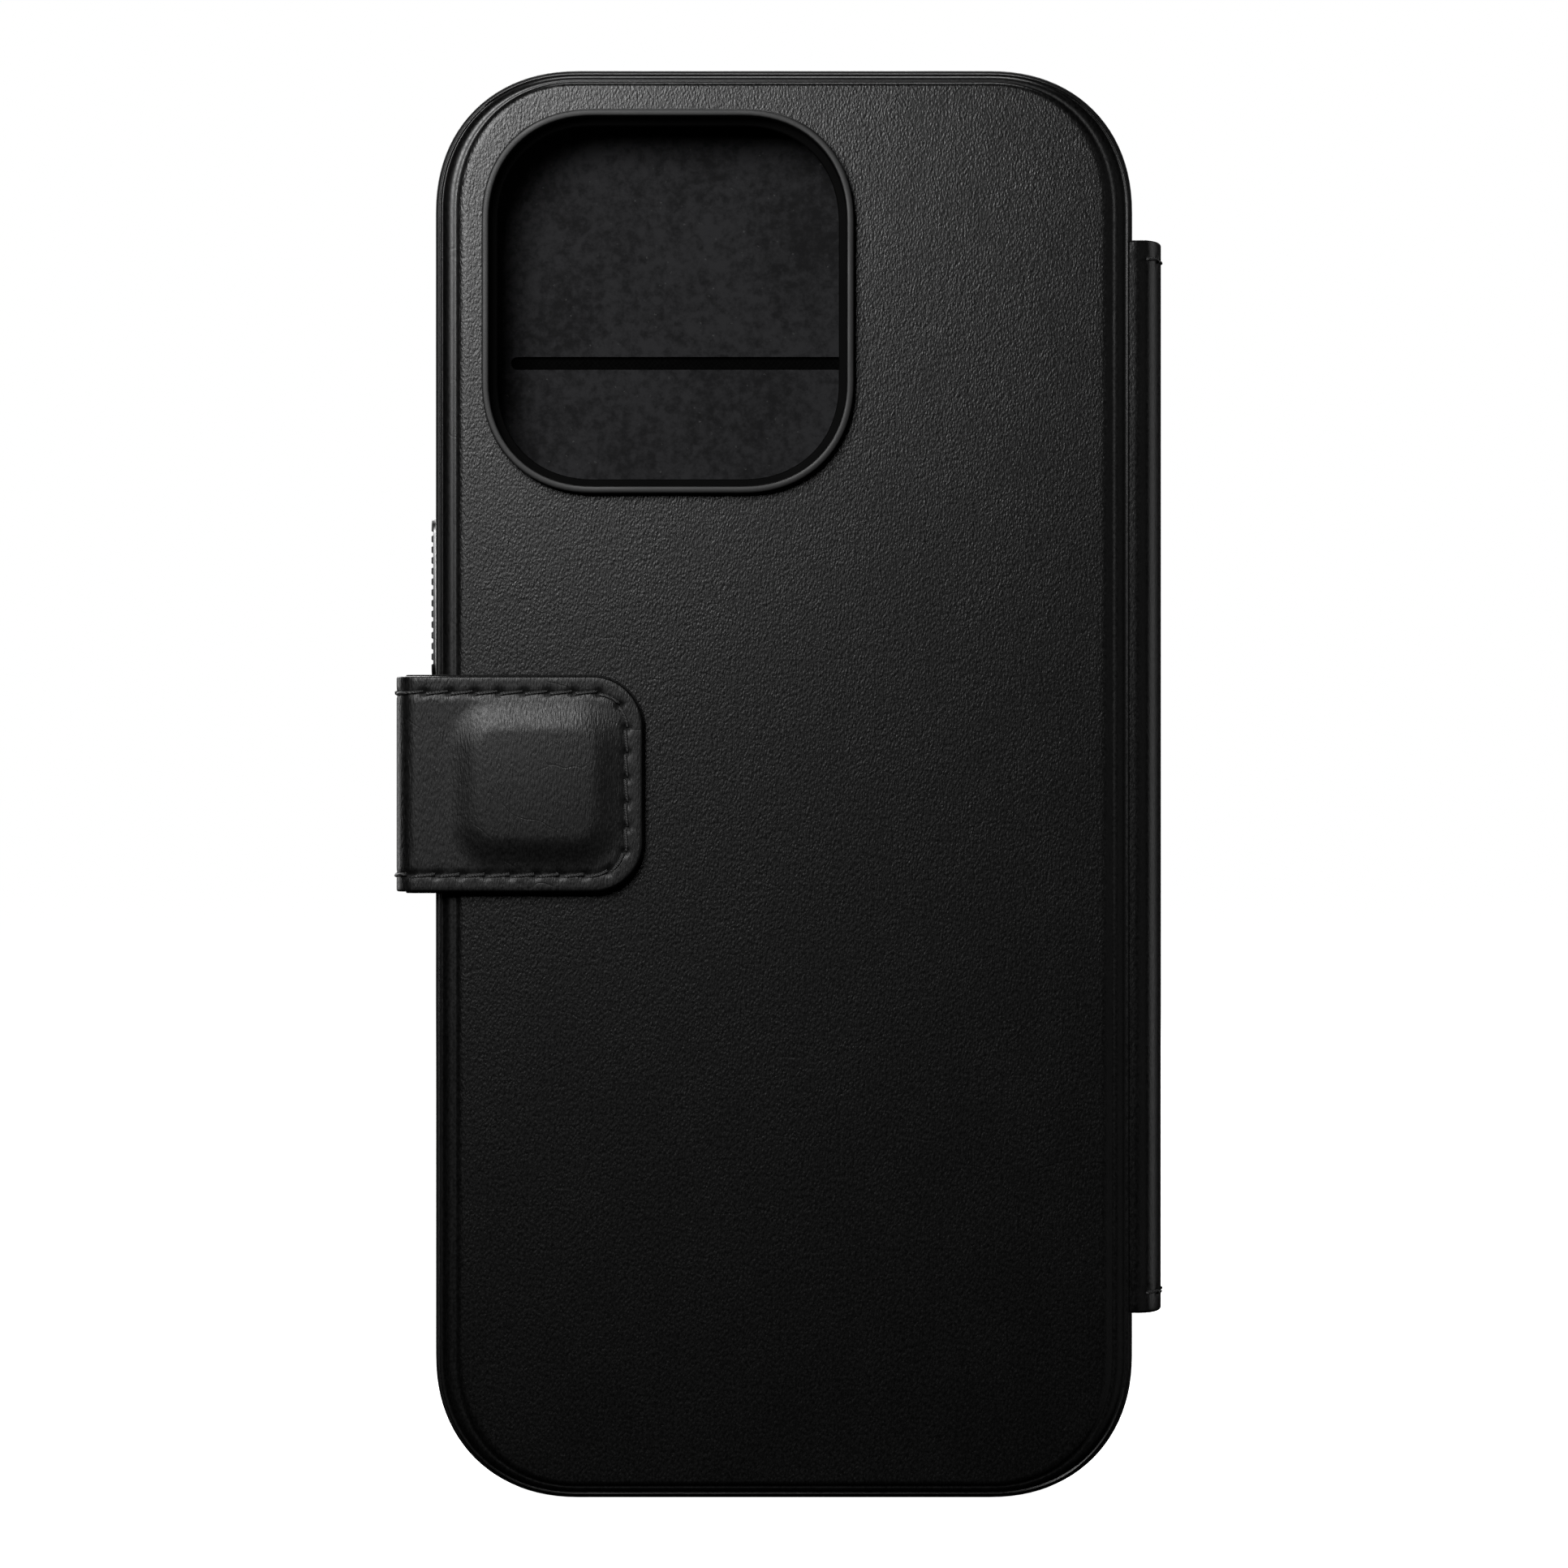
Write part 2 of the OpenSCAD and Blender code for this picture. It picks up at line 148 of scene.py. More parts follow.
class Route:
    """A line in a plane, measured along its length in millimetres."""

    def __init__(self, points: Sequence[tuple[float, float]]) -> None:
        """Measures the line.

        Args:
            points: the points it runs through.
        """
        self.points = [Vector(p) for p in points]
        self.stops = [0.0]
        for a, b in zip(self.points, self.points[1:]):
            self.stops.append(self.stops[-1] + (b - a).length)
        legs = [(b - a).normalized() for a, b in zip(self.points, self.points[1:])]
        self.ways = [
            (legs[max(i - 1, 0)] + legs[min(i, len(legs) - 1)]).normalized()
            for i in range(len(self.points))
        ]

    @property
    def length(self) -> float:
        """The whole length."""
        return self.stops[-1]

    def at(self, s: float) -> tuple[Vector, Vector]:
        """Finds a place on the line.

        Args:
            s: the distance from its start.

        Returns:
            The point, and the unit vector to the right of the way ahead.
        """
        i = min(max(bisect.bisect_right(self.stops, s) - 1, 0), len(self.stops) - 2)
        share = (s - self.stops[i]) / (self.stops[i + 1] - self.stops[i])
        way = self.ways[i].lerp(self.ways[i + 1], min(max(share, 0), 1)).normalized()
        return self.points[i].lerp(self.points[i + 1], share), Vector((way.y, -way.x))

    def nearest(self, spot: tuple[float, float], steps: int = 800) -> float:
        """The distance along the line of its nearest place to a spot."""
        tries = [self.length * i / steps for i in range(steps + 1)]
        return min(tries, key=lambda s: (self.at(s)[0] - Vector(spot)).length)


def filleted(
    corners: Sequence[tuple[float, float]], radius: float, steps: int = 10
) -> list[tuple[float, float]]:
    """Rounds the inner corners of a line.

    Args:
        corners: the line's points.
        radius: the radius of each round.
        steps: how many straight pieces make one round.

    Returns:
        The points of the rounded line.
    """
    out = [corners[0]]
    for before, here, after in zip(corners, corners[1:], corners[2:]):
        b, h, a = Vector(before), Vector(here), Vector(after)
        back, on = (b - h).normalized(), (a - h).normalized()
        half = back.angle(on) / 2
        start, end = h + back * radius / math.tan(half), h + on * radius / math.tan(half)
        middle = h + (back + on).normalized() * radius / math.sin(half)
        for i in range(steps + 1):
            spoke = (start - middle).slerp(end - middle, i / steps)
            out.append(tuple(middle + spoke.normalized() * radius))
    out.append(corners[-1])
    return out


def smoothed(
    points: Sequence[tuple[float, float]], steps: int = 6
) -> list[tuple[float, float]]:
    """Draws a smooth line through points.

    Args:
        points: the points it passes through.
        steps: how many straight pieces stand between two points.

    Returns:
        The points of the smooth line.
    """
    p = [Vector(v) for v in (points[0], *points, points[-1])]
    out = []
    for a, b, c, d in zip(p, p[1:], p[2:], p[3:]):
        for i in range(steps):
            t = i / steps
            bend = (2 * a - 5 * b + 4 * c - d) * t * t + (3 * b - a - 3 * c + d) * t**3
            out.append(tuple(0.5 * (2 * b + (c - a) * t + bend)))
    return [*out, tuple(points[-1])]


def step_between(low: float, high: float, value: float) -> float:
    """A smooth step from 0 at low to 1 at high."""
    t = min(max((value - low) / (high - low), 0.0), 1.0)
    return t * t * (3 - 2 * t)


def bell(distance: float, width: float) -> float:
    """A bell curve, 1 at no distance."""
    return math.exp(-((distance / width) ** 2))


# ---- mesh work


def order_layer(bm: bmesh.types.BMesh) -> bmesh.types.BMLayerItem:
    """The layer that numbers the vertices of a ring or grid."""
    layers = bm.verts.layers.int
    return layers.get("order") or layers.new("order")


def extruded(
    bm: bmesh.types.BMesh, edges: list[bmesh.types.BMEdge], spots: Sequence[Vector]
) -> list[bmesh.types.BMEdge]:
    """Extrudes edges, and puts each new vertex at the spot of its number.

    Args:
        bm: the mesh.
        edges: the edges to extrude.
        spots: a place for each vertex number.

    Returns:
        The new edges that run along the extruded ones.
    """
    order = order_layer(bm)
    made = bmesh.ops.extrude_edge_only(bm, edges=edges)["geom"]
    fresh = {g for g in made if isinstance(g, bmesh.types.BMVert)}
    for v in fresh:
        v.co = spots[v[order]]
    return [
        g
        for g in made
        if isinstance(g, bmesh.types.BMEdge) and all(v in fresh for v in g.verts)
    ]


def loft(
    bm: bmesh.types.BMesh, rings: Sequence[Sequence[Vector]], close: bool = False
) -> tuple[list[bmesh.types.BMEdge], list[bmesh.types.BMEdge]]:
    """Draws the first ring and extrudes it through the others.

    Args:
        bm: the mesh.
        rings: closed rings with the same number of points.
        close: whether the last ring joins the first.

    Returns:
        The edges of the first ring, and of the last.
    """
    order = order_layer(bm)
    start = [bm.verts.new(p) for p in rings[0]]
    for i, v in enumerate(start):
        v[order] = i
    first = [bm.edges.new((a, b)) for a, b in zip(start, start[1:] + start[:1])]
    last = first
    for ring in rings[1:]:
        last = extruded(bm, last, ring)
    if close:
        bmesh.ops.bridge_loops(bm, edges=first + last)
    return first, last


def capped(bm: bmesh.types.BMesh, rings: Sequence[Sequence[Vector]]) -> None:
    """Lofts rings and closes both ends with a face."""
    for end in loft(bm, rings):
        bmesh.ops.contextual_create(bm, geom=end)


def filled(bm: bmesh.types.BMesh, edges: list[bmesh.types.BMEdge]) -> None:
    """Fills the flat space between an outline and a hole in it."""
    bmesh.ops.triangle_fill(bm, use_beauty=True, edges=edges)


def stadium(
    centre: tuple[float, float], length: float, width: float, steps: int = 10
) -> list[tuple[float, float]]:
    """A slot with round ends.

    Args:
        centre: its middle.
        length: its length along the second axis.
        width: its width along the first axis.
        steps: how many straight pieces make one end.

    Returns:
        Its outline.
    """
    out = []
    for side, start in ((1, 0.0), (-1, math.pi)):
        for i in range(steps + 1):
            turn = start + math.pi * i / steps
            middle = centre[1] + side * (length - width) / 2
            out.append(
                (centre[0] + width / 2 * math.cos(turn), middle + width / 2 * math.sin(turn))
            )
    return out


def as_object(name: str, bm: bmesh.types.BMesh) -> bpy.types.Object:
    """Turns a mesh in millimetres into an object of the scene.

    Args:
        name: the object's name.
        bm: the mesh, which is freed.

    Returns:
        The new object.
    """
    bmesh.ops.recalc_face_normals(bm, faces=bm.faces[:])
    bmesh.ops.scale(bm, vec=(MM, MM, MM), verts=bm.verts[:])
    mesh = bpy.data.meshes.new(name)
    bm.to_mesh(mesh)
    bm.free()
    made = bpy.data.objects.new(name, mesh)
    bpy.context.scene.collection.objects.link(made)
    return made


def carve(piece: bpy.types.Object, cutter_mesh: bmesh.types.BMesh) -> None:
    """Cuts a closed shape out of a piece.

    Args:
        piece: the piece, whose mesh is replaced.
        cutter_mesh: the shape to take away, in millimetres.
    """
    cutter = as_object("cutter", cutter_mesh)
    cut = piece.modifiers.new("cut", "BOOLEAN")
    cut.object, cut.solver = cutter, "EXACT"
    graph = bpy.context.evaluated_depsgraph_get()
    mesh = bpy.data.meshes.new_from_object(piece.evaluated_get(graph))
    piece.modifiers.clear()
    mesh.name = piece.name
    piece.data = mesh
    bpy.data.objects.remove(cutter)


@dataclass
class Slab:
    """A band of leather or cloth along a route, with round edges, in millimetres."""

    route: Route
    start: float
    end: float
    bottom: float
    top: float
    face: Callable[[float, float, float], float]
    back: Callable[[float, float, float], float]
    corner: float = 0.0
    step: float = 0.33
    free_end: bool = False
    edge_lines: tuple[float, ...] = (0, 0.03, 0.1, 0.2, 0.32, 0.7)
    pits: Sequence[tuple[float, float]] = ()
    pit_width: float = 0.3
    pit_depth: float = 0.34
    pit_reach: float = 1.2

    def lines(self, low: float, high: float, near_low: bool, near_high: bool) -> list[float]:
        """The places of the grid's lines, close together at a free edge.

        Args:
            low: the first line.
            high: the last line.
            near_low: whether the first line is a free edge.
            near_high: whether the last line is a free edge.

        Returns:
            The lines in order.
        """
        head = [low + d for d in self.edge_lines] if near_low else [low]
        tail = [high - d for d in reversed(self.edge_lines)] if near_high else [high]
        count = max(1, round((tail[0] - head[-1]) / self.step))
        span = (tail[0] - head[-1]) / count
        return head + [head[-1] + span * i for i in range(1, count)] + tail

    def warped(self, s: float, z: float) -> tuple[float, float]:
        """Rounds the corners of the free end: square rings become round ones.

        Args:
            s: a distance along the route.
            z: a height across it.

        Returns:
            The distance and the height after rounding.
        """
        a = s - (self.end - self.corner)
        middle = (self.top + self.bottom) / 2
        b = abs(z - middle) - ((self.top - self.bottom) / 2 - self.corner)
        if self.corner == 0 or a <= 0 or b <= 0:
            return s, z
        radius, other = max(a, b), min(a, b)
        turn = math.pi / 4 * other / radius
        if b > a:
            turn = math.pi / 2 - turn
        side = 1 if z > middle else -1
        return (
            s - a + radius * math.cos(turn),
            z - side * b + side * radius * math.sin(turn),
        )

    def lay(self, s: float, z: float, h: float) -> Vector:
        """The place of a point at a distance along, a height, and a distance out."""
        spot, out = self.route.at(s)
        return Vector((*(spot + out * h), z))

    def margin(self, s: float, z: float) -> float:
        """The distance from the nearest free edge, before the corners are rounded."""
        edges = [z - self.bottom, self.top - z]
        return min(edges + [self.end - s] if self.free_end else edges)

    def sunk(self, s: float, z: float) -> float:
        """How deep a place lies in a needle hole, from 0 to 1."""
        near = [(s - a, z - b) for a, b in self.pits if abs(s - a) + abs(z - b) < self.pit_reach]
        return min(1.0, sum(bell(math.hypot(*gap), self.pit_width) for gap in near))

    def mesh(self) -> bmesh.types.BMesh:
        """Builds the band.

        Returns:
            A closed mesh, with the depth of its needle holes in a layer, which also darkens the
            leather's colour there as painted shade.
        """
        columns = self.lines(self.start, self.end, False, self.free_end)
        rows = self.lines(self.bottom, self.top, True, True)
        bm = bmesh.new()
        order = order_layer(bm)
        pit_and_shade = bm.verts.layers.float.new("pit_and_shade")
        wide, high = len(columns) - 1, len(rows) - 1
        bmesh.ops.create_grid(bm, x_segments=wide, y_segments=high, size=1)
        fronts: list[Vector] = [Vector()] * ((wide + 1) * (high + 1))
        backs = list(fronts)
        for v in bm.verts:
            i = round((v.co.x + 1) / 2 * wide)
            j = round((v.co.y + 1) / 2 * high)
            v[order] = j * (wide + 1) + i
            s, z = self.warped(columns[i], rows[j])
            margin = self.margin(columns[i], rows[j])
            # The needle-hole share sinks the face and also paints shade into the leather's colour.
            v[pit_and_shade] = self.sunk(s, z)
            height = self.face(s, z, margin) - self.pit_depth * v[pit_and_shade]
            fronts[v[order]] = self.lay(s, z, height)
            backs[v[order]] = self.lay(s, z, self.back(s, z, margin))
        behind = bmesh.ops.duplicate(bm, geom=bm.verts[:] + bm.edges[:] + bm.faces[:])
        copies = {g for g in behind["geom"] if isinstance(g, bmesh.types.BMVert)}
        rim = [e for e in bm.edges if e.is_boundary and e.verts[0] not in copies]
        for v in bm.verts:
            v.co = (backs if v in copies else fronts)[v[order]]
        extruded(bm, rim, backs)
        bmesh.ops.remove_doubles(bm, verts=bm.verts[:], dist=WELD)
        return bm


def rounding(margin: float, radius: float) -> float:
    """How far a round edge falls below the face.

    Args:
        margin: the distance from the edge.
        radius: the radius of the round.

    Returns:
        The fall, 0 past the round.
    """
    if margin >= radius:
        return 0.0
    return radius - math.sqrt(max(radius**2 - (radius - margin) ** 2, 0.0))


@dataclass
class Seam:
    """A row of stitches along a path on a surface, in millimetres."""

    path: Route
    lay: Callable[[float, float, float], Vector]
    height: float
    first: float = STITCH_PITCH / 2
    pitch: float = STITCH_PITCH
    thickness: float = 0.34
    slant: float = 0.15
    rise: float = 0.1
    sides: int = 6
    shares: tuple[float, ...] = (0.06, 0.14, 0.24, 0.4, 0.58, 0.74, 0.86, 0.94)
    fullness: float = 1.12
    taper: float = 0.42
    dive: float = 0.36
    crest: float = 0.48

    @property
    def count(self) -> int:
        """How many whole stitches the path has room for."""
        return int((self.path.length - self.first) / self.pitch)

    def holes(self) -> list[tuple[float, float]]:
        """The needle holes, one more than the stitches."""
        return [
            tuple(self.path.at(self.first + i * self.pitch)[0]) for i in range(self.count + 1)
        ]

    def sew(self, bm: bmesh.types.BMesh) -> None:
        """Adds the stitches: each leaves one hole thick and enters the next thin.

        Args:
            bm: the mesh that they are added to.
        """
        turns = [2 * math.pi * k / self.sides for k in range(self.sides)]
        for i in range(self.count):
            rings = []
            for share in self.shares:
                spot, right = self.path.at(self.first + (i + share) * self.pitch)
                lateral = self.slant * (1 - 2 * share)
                radius = self.thickness / 2 * (self.fullness - self.taper * share)
                drop = self.dive * (2 * abs(share - self.crest)) ** 5
                rings.append(
                    [
                        self.lay(
                            *(spot + right * (lateral + radius * math.cos(turn))),
                            self.height + self.rise - drop + radius * math.sin(turn),
                        )
                        for turn in turns
                    ]
                )
            capped(bm, rings)


# ---- finishes


class Graph:
    """A material's nodes, with short calls for the ones used here."""

    def __init__(self, name: str) -> None:
        """Starts a material with one shader.

        Args:
            name: the material's name.
        """
        self.material = bpy.data.materials.new(name)
        self.material.use_nodes = True
        self.tree = self.material.node_tree
        self.shader = self.tree.nodes["Principled BSDF"]

    def node(self, kind: str, inputs: dict | None = None, **props: object) -> bpy.types.Node:
        """Adds a node.

        Args:
            kind: the node's type.
            inputs: a value or a socket for each named input.
            props: the node's own settings.

        Returns:
            The node.
        """
        made = self.tree.nodes.new(kind)
        for key, value in props.items():
            setattr(made, key, value)
        for key, value in (inputs or {}).items():
            self.feed(made, key, value)
        return made

    def feed(self, node: bpy.types.Node, key: str | int, value: object) -> None:
        """Links a socket to an input, or sets the input's value.

        Args:
            node: the node.
            key: the input's name or number.
            value: the socket or the value.
        """
        if isinstance(value, bpy.types.NodeSocket):
            self.tree.links.new(value, node.inputs[key])
        else:
            node.inputs[key].default_value = value

    def shade(self, **inputs: object) -> None:
        """Sets or links inputs of the shader, whose spaces are written as underscores."""
        for key, value in inputs.items():
            self.feed(self.shader, key.replace("_", " "), value)

    def coords(
        self, cell: tuple[float, float, float], turn: float = 0.0
    ) -> bpy.types.NodeSocket:
        """Object coordinates in cells.

        Args:
            cell: the size of a cell along each axis, in millimetres.
            turn: how far the pattern is turned about Y, in degrees.

        Returns:
            The coordinates.
        """
        place = self.node("ShaderNodeTexCoord").outputs["Object"]
        if turn:
            place = self.node(
                "ShaderNodeMapping",
                {"Vector": place, "Rotation": (0.0, math.radians(turn), 0.0)},
            ).outputs[0]
        scale = tuple(1 / (MM * c) for c in cell)
        return self.node("ShaderNodeMapping", {"Vector": place, "Scale": scale}).outputs[0]

    def math(self, operation: str, *values: object) -> bpy.types.NodeSocket:
        """One sum of numbers."""
        return self.node(
            "ShaderNodeMath", dict(enumerate(values)), operation=operation
        ).outputs[0]

    def span(
        self, value: object, low: float, high: float, to_low: float = 0.0, to_high: float = 1.0
    ) -> bpy.types.NodeSocket:
        """Maps a range of numbers smoothly onto another, and keeps it inside.

        Args:
            value: the number to map.
            low: the low end of its range.
            high: the high end of its range.
            to_low: what the low end becomes.
            to_high: what the high end becomes.

        Returns:
            The mapped number.
        """
        return self.node(
            "ShaderNodeMapRange",
            {
                "Value": value,
                "From Min": low,
                "From Max": high,
                "To Min": to_low,
                "To Max": to_high,
            },
            interpolation_type="SMOOTHSTEP",
        ).outputs[0]

    def noise(
        self, vector: bpy.types.NodeSocket, detail: float = 2.0, roughness: float = 0.5
    ) -> bpy.types.NodeSocket:
        """Soft noise with one lump to a cell."""
        return self.node(
            "ShaderNodeTexNoise",
            {"Vector": vector, "Scale": 1.0, "Detail": detail, "Roughness": roughness},
        ).outputs["Fac"]

    def cells(self, vector: bpy.types.NodeSocket, feature: str) -> bpy.types.NodeSocket:
        """Distances in a net of cells."""
        return self.node(
            "ShaderNodeTexVoronoi", {"Vector": vector, "Scale": 1.0}, feature=feature
        ).outputs["Distance"]

    def attribute(self, name: str) -> bpy.types.NodeSocket:
        """A number that the mesh carries at each vertex."""
        return self.node("ShaderNodeAttribute", attribute_name=name).outputs["Fac"]

    def mix(self, share: object, a: object, b: object) -> bpy.types.NodeSocket:
        """Mixes two colours."""
        return self.node(
            "ShaderNodeMix", {0: share, 6: a, 7: b}, data_type="RGBA"
        ).outputs[2]

    def greys(
        self, share: object, level: float, low: float, high: float, warmth: float = 0.0
    ) -> bpy.types.NodeSocket:
        """Mixes two greys, each a share of one level."""
        return self.mix(share, grey(level * low, warmth), grey(level * high, warmth))

    def around(
        self, noise: object, middle: float, below: float, above: float
    ) -> bpy.types.NodeSocket:
        """Spreads noise over a range about a middle value."""
        return self.span(noise, NOISE_LOW, NOISE_HIGH, middle - below, middle + above)

    def bump(self, height: object, scale: float = 1.0) -> bpy.types.NodeSocket:
        """Turns a height in millimetres, first scaled, into a normal."""
        if scale != 1.0:
            height = self.math("MULTIPLY", height, scale)
        return self.node(
            "ShaderNodeBump", {"Height": height, "Distance": MM, "Strength": 1.0}
        ).outputs[0]


def grey(level: float, warmth: float = 0.0) -> tuple[float, float, float, float]:
    """A grey, with a little more or less blue."""
    return (level, level, level * (1 - warmth), 1.0)


@dataclass(frozen=True)
class Finish:
    """A named finish."""

    name: str

    def paint(self, g: Graph) -> None:
        """Sets up the shader's nodes, which each kind of finish does its own way."""
        raise NotImplementedError

    def make(self) -> bpy.types.Material:
        """Builds the material.

        Returns:
            The material.
        """
        g = Graph(self.name)
        self.paint(g)
        return g.material


@dataclass(frozen=True)
class Leather(Finish):
    """Black leather with a fine grain of short upright ridges, a few creases, and painted shade
    darkening its needle holes.
    """

    grain: tuple[float, float, float] = (0.21, 0.25, 0.38)
    depth: float = 0.027
    level: float = 0.0045
    roughness: float = 0.33
    creases: float = 0.004
    gloss: float = 0.5
    crease_size: tuple[float, float, float] = (8.0, 8.0, 13.0)

    def ridges(self, g: Graph) -> bpy.types.NodeSocket:
        """The grain: wavering ridges in patches of more and less relief.

        Args:
            g: the material's nodes.

        Returns:
            The grain's height, about 0 to 1.
        """
        drift = g.node(
            "ShaderNodeTexNoise",
            {"Vector": g.coords((2.2, 2.2, 2.8)), "Scale": 1.0, "Detail": 2.0},
        ).outputs["Color"]
        moved = g.node(
            "ShaderNodeVectorMath", {0: drift, 1: (1.6, 1.6, 1.6)}, operation="MULTIPLY"
        ).outputs[0]
        place = g.node(
            "ShaderNodeVectorMath", {0: g.coords(self.grain), 1: moved}, operation="ADD"
        ).outputs[0]
        upright = g.noise(place, 1.5, 0.45)
        pebble = g.span(g.cells(place, "F1"), 0.1, 0.75, 1.0, 0.0)
        patch = g.around(g.noise(g.coords((5.0, 5.0, 8.0)), 3.0), 1.0, 0.15, 0.12)
        relief = g.math("ADD", upright, g.math("MULTIPLY", pebble, 0.35))
        return g.math("MULTIPLY", relief, patch)

    def wrinkles(self, g: Graph) -> bpy.types.NodeSocket:
        """Long fine creases that come and go.

        Args:
            g: the material's nodes.

        Returns:
            The creases' depth, 0 to 1.
        """
        bent = g.node(
            "ShaderNodeVectorMath",
            {
                0: g.coords(self.crease_size, 24.0),
                1: g.node(
                    "ShaderNodeTexNoise", {"Vector": g.coords((6.0, 6.0, 6.0)), "Scale": 1.0}
                ).outputs["Color"],
            },
            operation="ADD",
        ).outputs[0]
        line = g.span(g.cells(bent, "DISTANCE_TO_EDGE"), 0.0, 0.025, 1.0, 0.0)
        where = g.span(g.noise(g.coords((14.0, 14.0, 14.0)), 1.0), 0.48, 0.62)
        return g.math("MULTIPLY", line, where)

    def paint(self, g: Graph) -> None:
        """Sets up the shader's nodes.

        Args:
            g: the material's nodes.
        """
        ridges = self.ridges(g)
        keep = g.span(g.attribute("worn"), 0.0, 1.0, self.depth, self.depth * 0.12)
        grain = g.math("MULTIPLY", ridges, keep)
        crease = g.math("MULTIPLY", self.wrinkles(g), self.creases)
        swell = g.math("MULTIPLY", g.noise(g.coords((6.0, 6.0, 9.0)), 1.0), 0.006)
        streak = g.math("MULTIPLY", g.noise(g.coords((0.5, 0.5, 7.0)), 2.0), 0.004)
        height = g.math("ADD", g.math("SUBTRACT", grain, crease), g.math("ADD", swell, streak))
        # The needle-hole layer darkens the colour towards black there: painted shade in the holes.
        pit_and_shade = g.attribute("pit_and_shade")
        tone = g.greys(g.span(ridges, 0.3, 1.0), self.level, 0.4, 1.5)
        fine = g.noise(g.coords((0.3, 0.3, 0.4)), 2.0)
        rough = g.around(fine, self.roughness, 0.05, 0.05)
        g.shade(
            Base_Color=g.mix(g.span(pit_and_shade, 0.15, 0.8), tone, grey(0.0006)),
            Roughness=g.math("ADD", rough, g.math("MULTIPLY", pit_and_shade, 0.4)),
            Specular_IOR_Level=self.gloss,
            Normal=g.bump(height),
        )


@dataclass(frozen=True)
class Moulded(Finish):
    """Moulded plastic or rubber with a fine texture."""

    level: float
    roughness: float
    depth: float = 0.004

    def paint(self, g: Graph) -> None:
        """Sets up the shader's nodes.

        Args:
            g: the material's nodes.
        """
        fine = g.noise(g.coords((0.12, 0.12, 0.12)), 3.0, 0.6)
        slow = g.noise(g.coords((7.0, 7.0, 7.0)), 2.0)
        g.shade(
            Base_Color=g.greys(slow, self.level, 0.8, 1.2),
            Roughness=g.around(slow, self.roughness, 0.05, 0.05),
            Normal=g.bump(fine, self.depth),
        )


@dataclass(frozen=True)
class Satin(Finish):
    """Dark satin coating with a very fine tooth."""

    level: float
    roughness: float
    gloss: float = 0.5

    def paint(self, g: Graph) -> None:
        """Sets up the shader's nodes.

        Args:
            g: the material's nodes.
        """
        fine = g.noise(g.coords((0.07, 0.07, 0.07)), 2.0, 0.6)
        slow = g.noise(g.coords((5.0, 5.0, 5.0)), 2.0)
        g.shade(
            Base_Color=g.greys(fine, self.level, 0.8, 1.2),
            Roughness=g.around(slow, self.roughness, 0.03, 0.03),
            Specular_IOR_Level=self.gloss,
            Normal=g.bump(fine, 0.002),
        )


@dataclass(frozen=True)
class Metal(Finish):
    """Bare, plated or anodised metal with brush marks along Z."""

    level: float
    roughness: float
    brush: tuple[float, float, float] = (0.05, 0.05, 1.6)

    def paint(self, g: Graph) -> None:
        """Sets up the shader's nodes.

        Args:
            g: the material's nodes.
        """
        marks = g.noise(g.coords(self.brush), 3.0, 0.6)
        g.shade(
            Base_Color=g.greys(marks, self.level, 0.85, 1.15),
            Metallic=1.0,
            Roughness=g.around(marks, self.roughness, 0.06, 0.08),
            Normal=g.bump(marks, 0.003),
        )


@dataclass(frozen=True)
class Nap(Finish):
    """Microfibre with a short nap, soft mottling and a few light fibres."""

    level: float = 0.026
    warmth: float = -0.06

    def paint(self, g: Graph) -> None:
        """Sets up the shader's nodes.

        Args:
            g: the material's nodes.
        """
        blotch = g.noise(g.coords((0.9, 0.9, 0.9)), 4.0, 0.65)
        wide = g.noise(g.coords((6.0, 6.0, 8.0)), 2.0)
        fibre = g.noise(g.coords((0.14, 0.14, 0.14)), 3.0, 0.7)
        speck = g.span(g.cells(g.coords((1.3, 1.3, 1.3)), "F1"), 0.05, 0.13, 1.0, 0.0)
        speck = g.math("MULTIPLY", speck, g.span(fibre, 0.45, 0.62))
        mottle = g.span(g.math("ADD", blotch, g.math("MULTIPLY", wide, 0.5)), 0.55, 0.95)
        tone = g.greys(mottle, self.level, 0.6, 1.45, self.warmth)
        height = g.math("ADD", g.math("MULTIPLY", fibre, 0.03), g.math("MULTIPLY", blotch, 0.05))
        g.shade(
            Base_Color=g.mix(g.math("MULTIPLY", speck, 0.6), tone, grey(self.level * 6)),
            Roughness=0.95,
            Specular_IOR_Level=0.15,
            Sheen_Weight=0.12,
            Sheen_Roughness=0.5,
            Normal=g.bump(height),
        )


@dataclass(frozen=True)
class Woven(Finish):
    """Fine plain-woven cloth."""

    level: float = 0.012
    yarn: float = 0.28
    gloss: float = 0.25

    def paint(self, g: Graph) -> None:
        """Sets up the shader's nodes.

        Args:
            g: the material's nodes.
        """
        place = g.node(
            "ShaderNodeSeparateXYZ", {0: g.coords((self.yarn, self.yarn, self.yarn))}
        )
        warp = g.math("SINE", g.math("MULTIPLY", place.outputs["Z"], math.pi))
        weft_place = g.math("ADD", place.outputs["X"], place.outputs["Y"])
        weft = g.math("SINE", g.math("MULTIPLY", weft_place, math.pi))
        weave = g.math("MULTIPLY", warp, weft)
        stray = g.noise(g.coords((0.5, 0.5, 0.5)), 3.0, 0.6)
        g.shade(
            Base_Color=g.greys(g.span(weave, -1.0, 1.0), self.level, 0.6, 1.5),
            Roughness=g.span(stray, NOISE_LOW, NOISE_HIGH, 0.8, 0.95),
            Specular_IOR_Level=self.gloss,
            Normal=g.bump(weave, 0.02),
        )


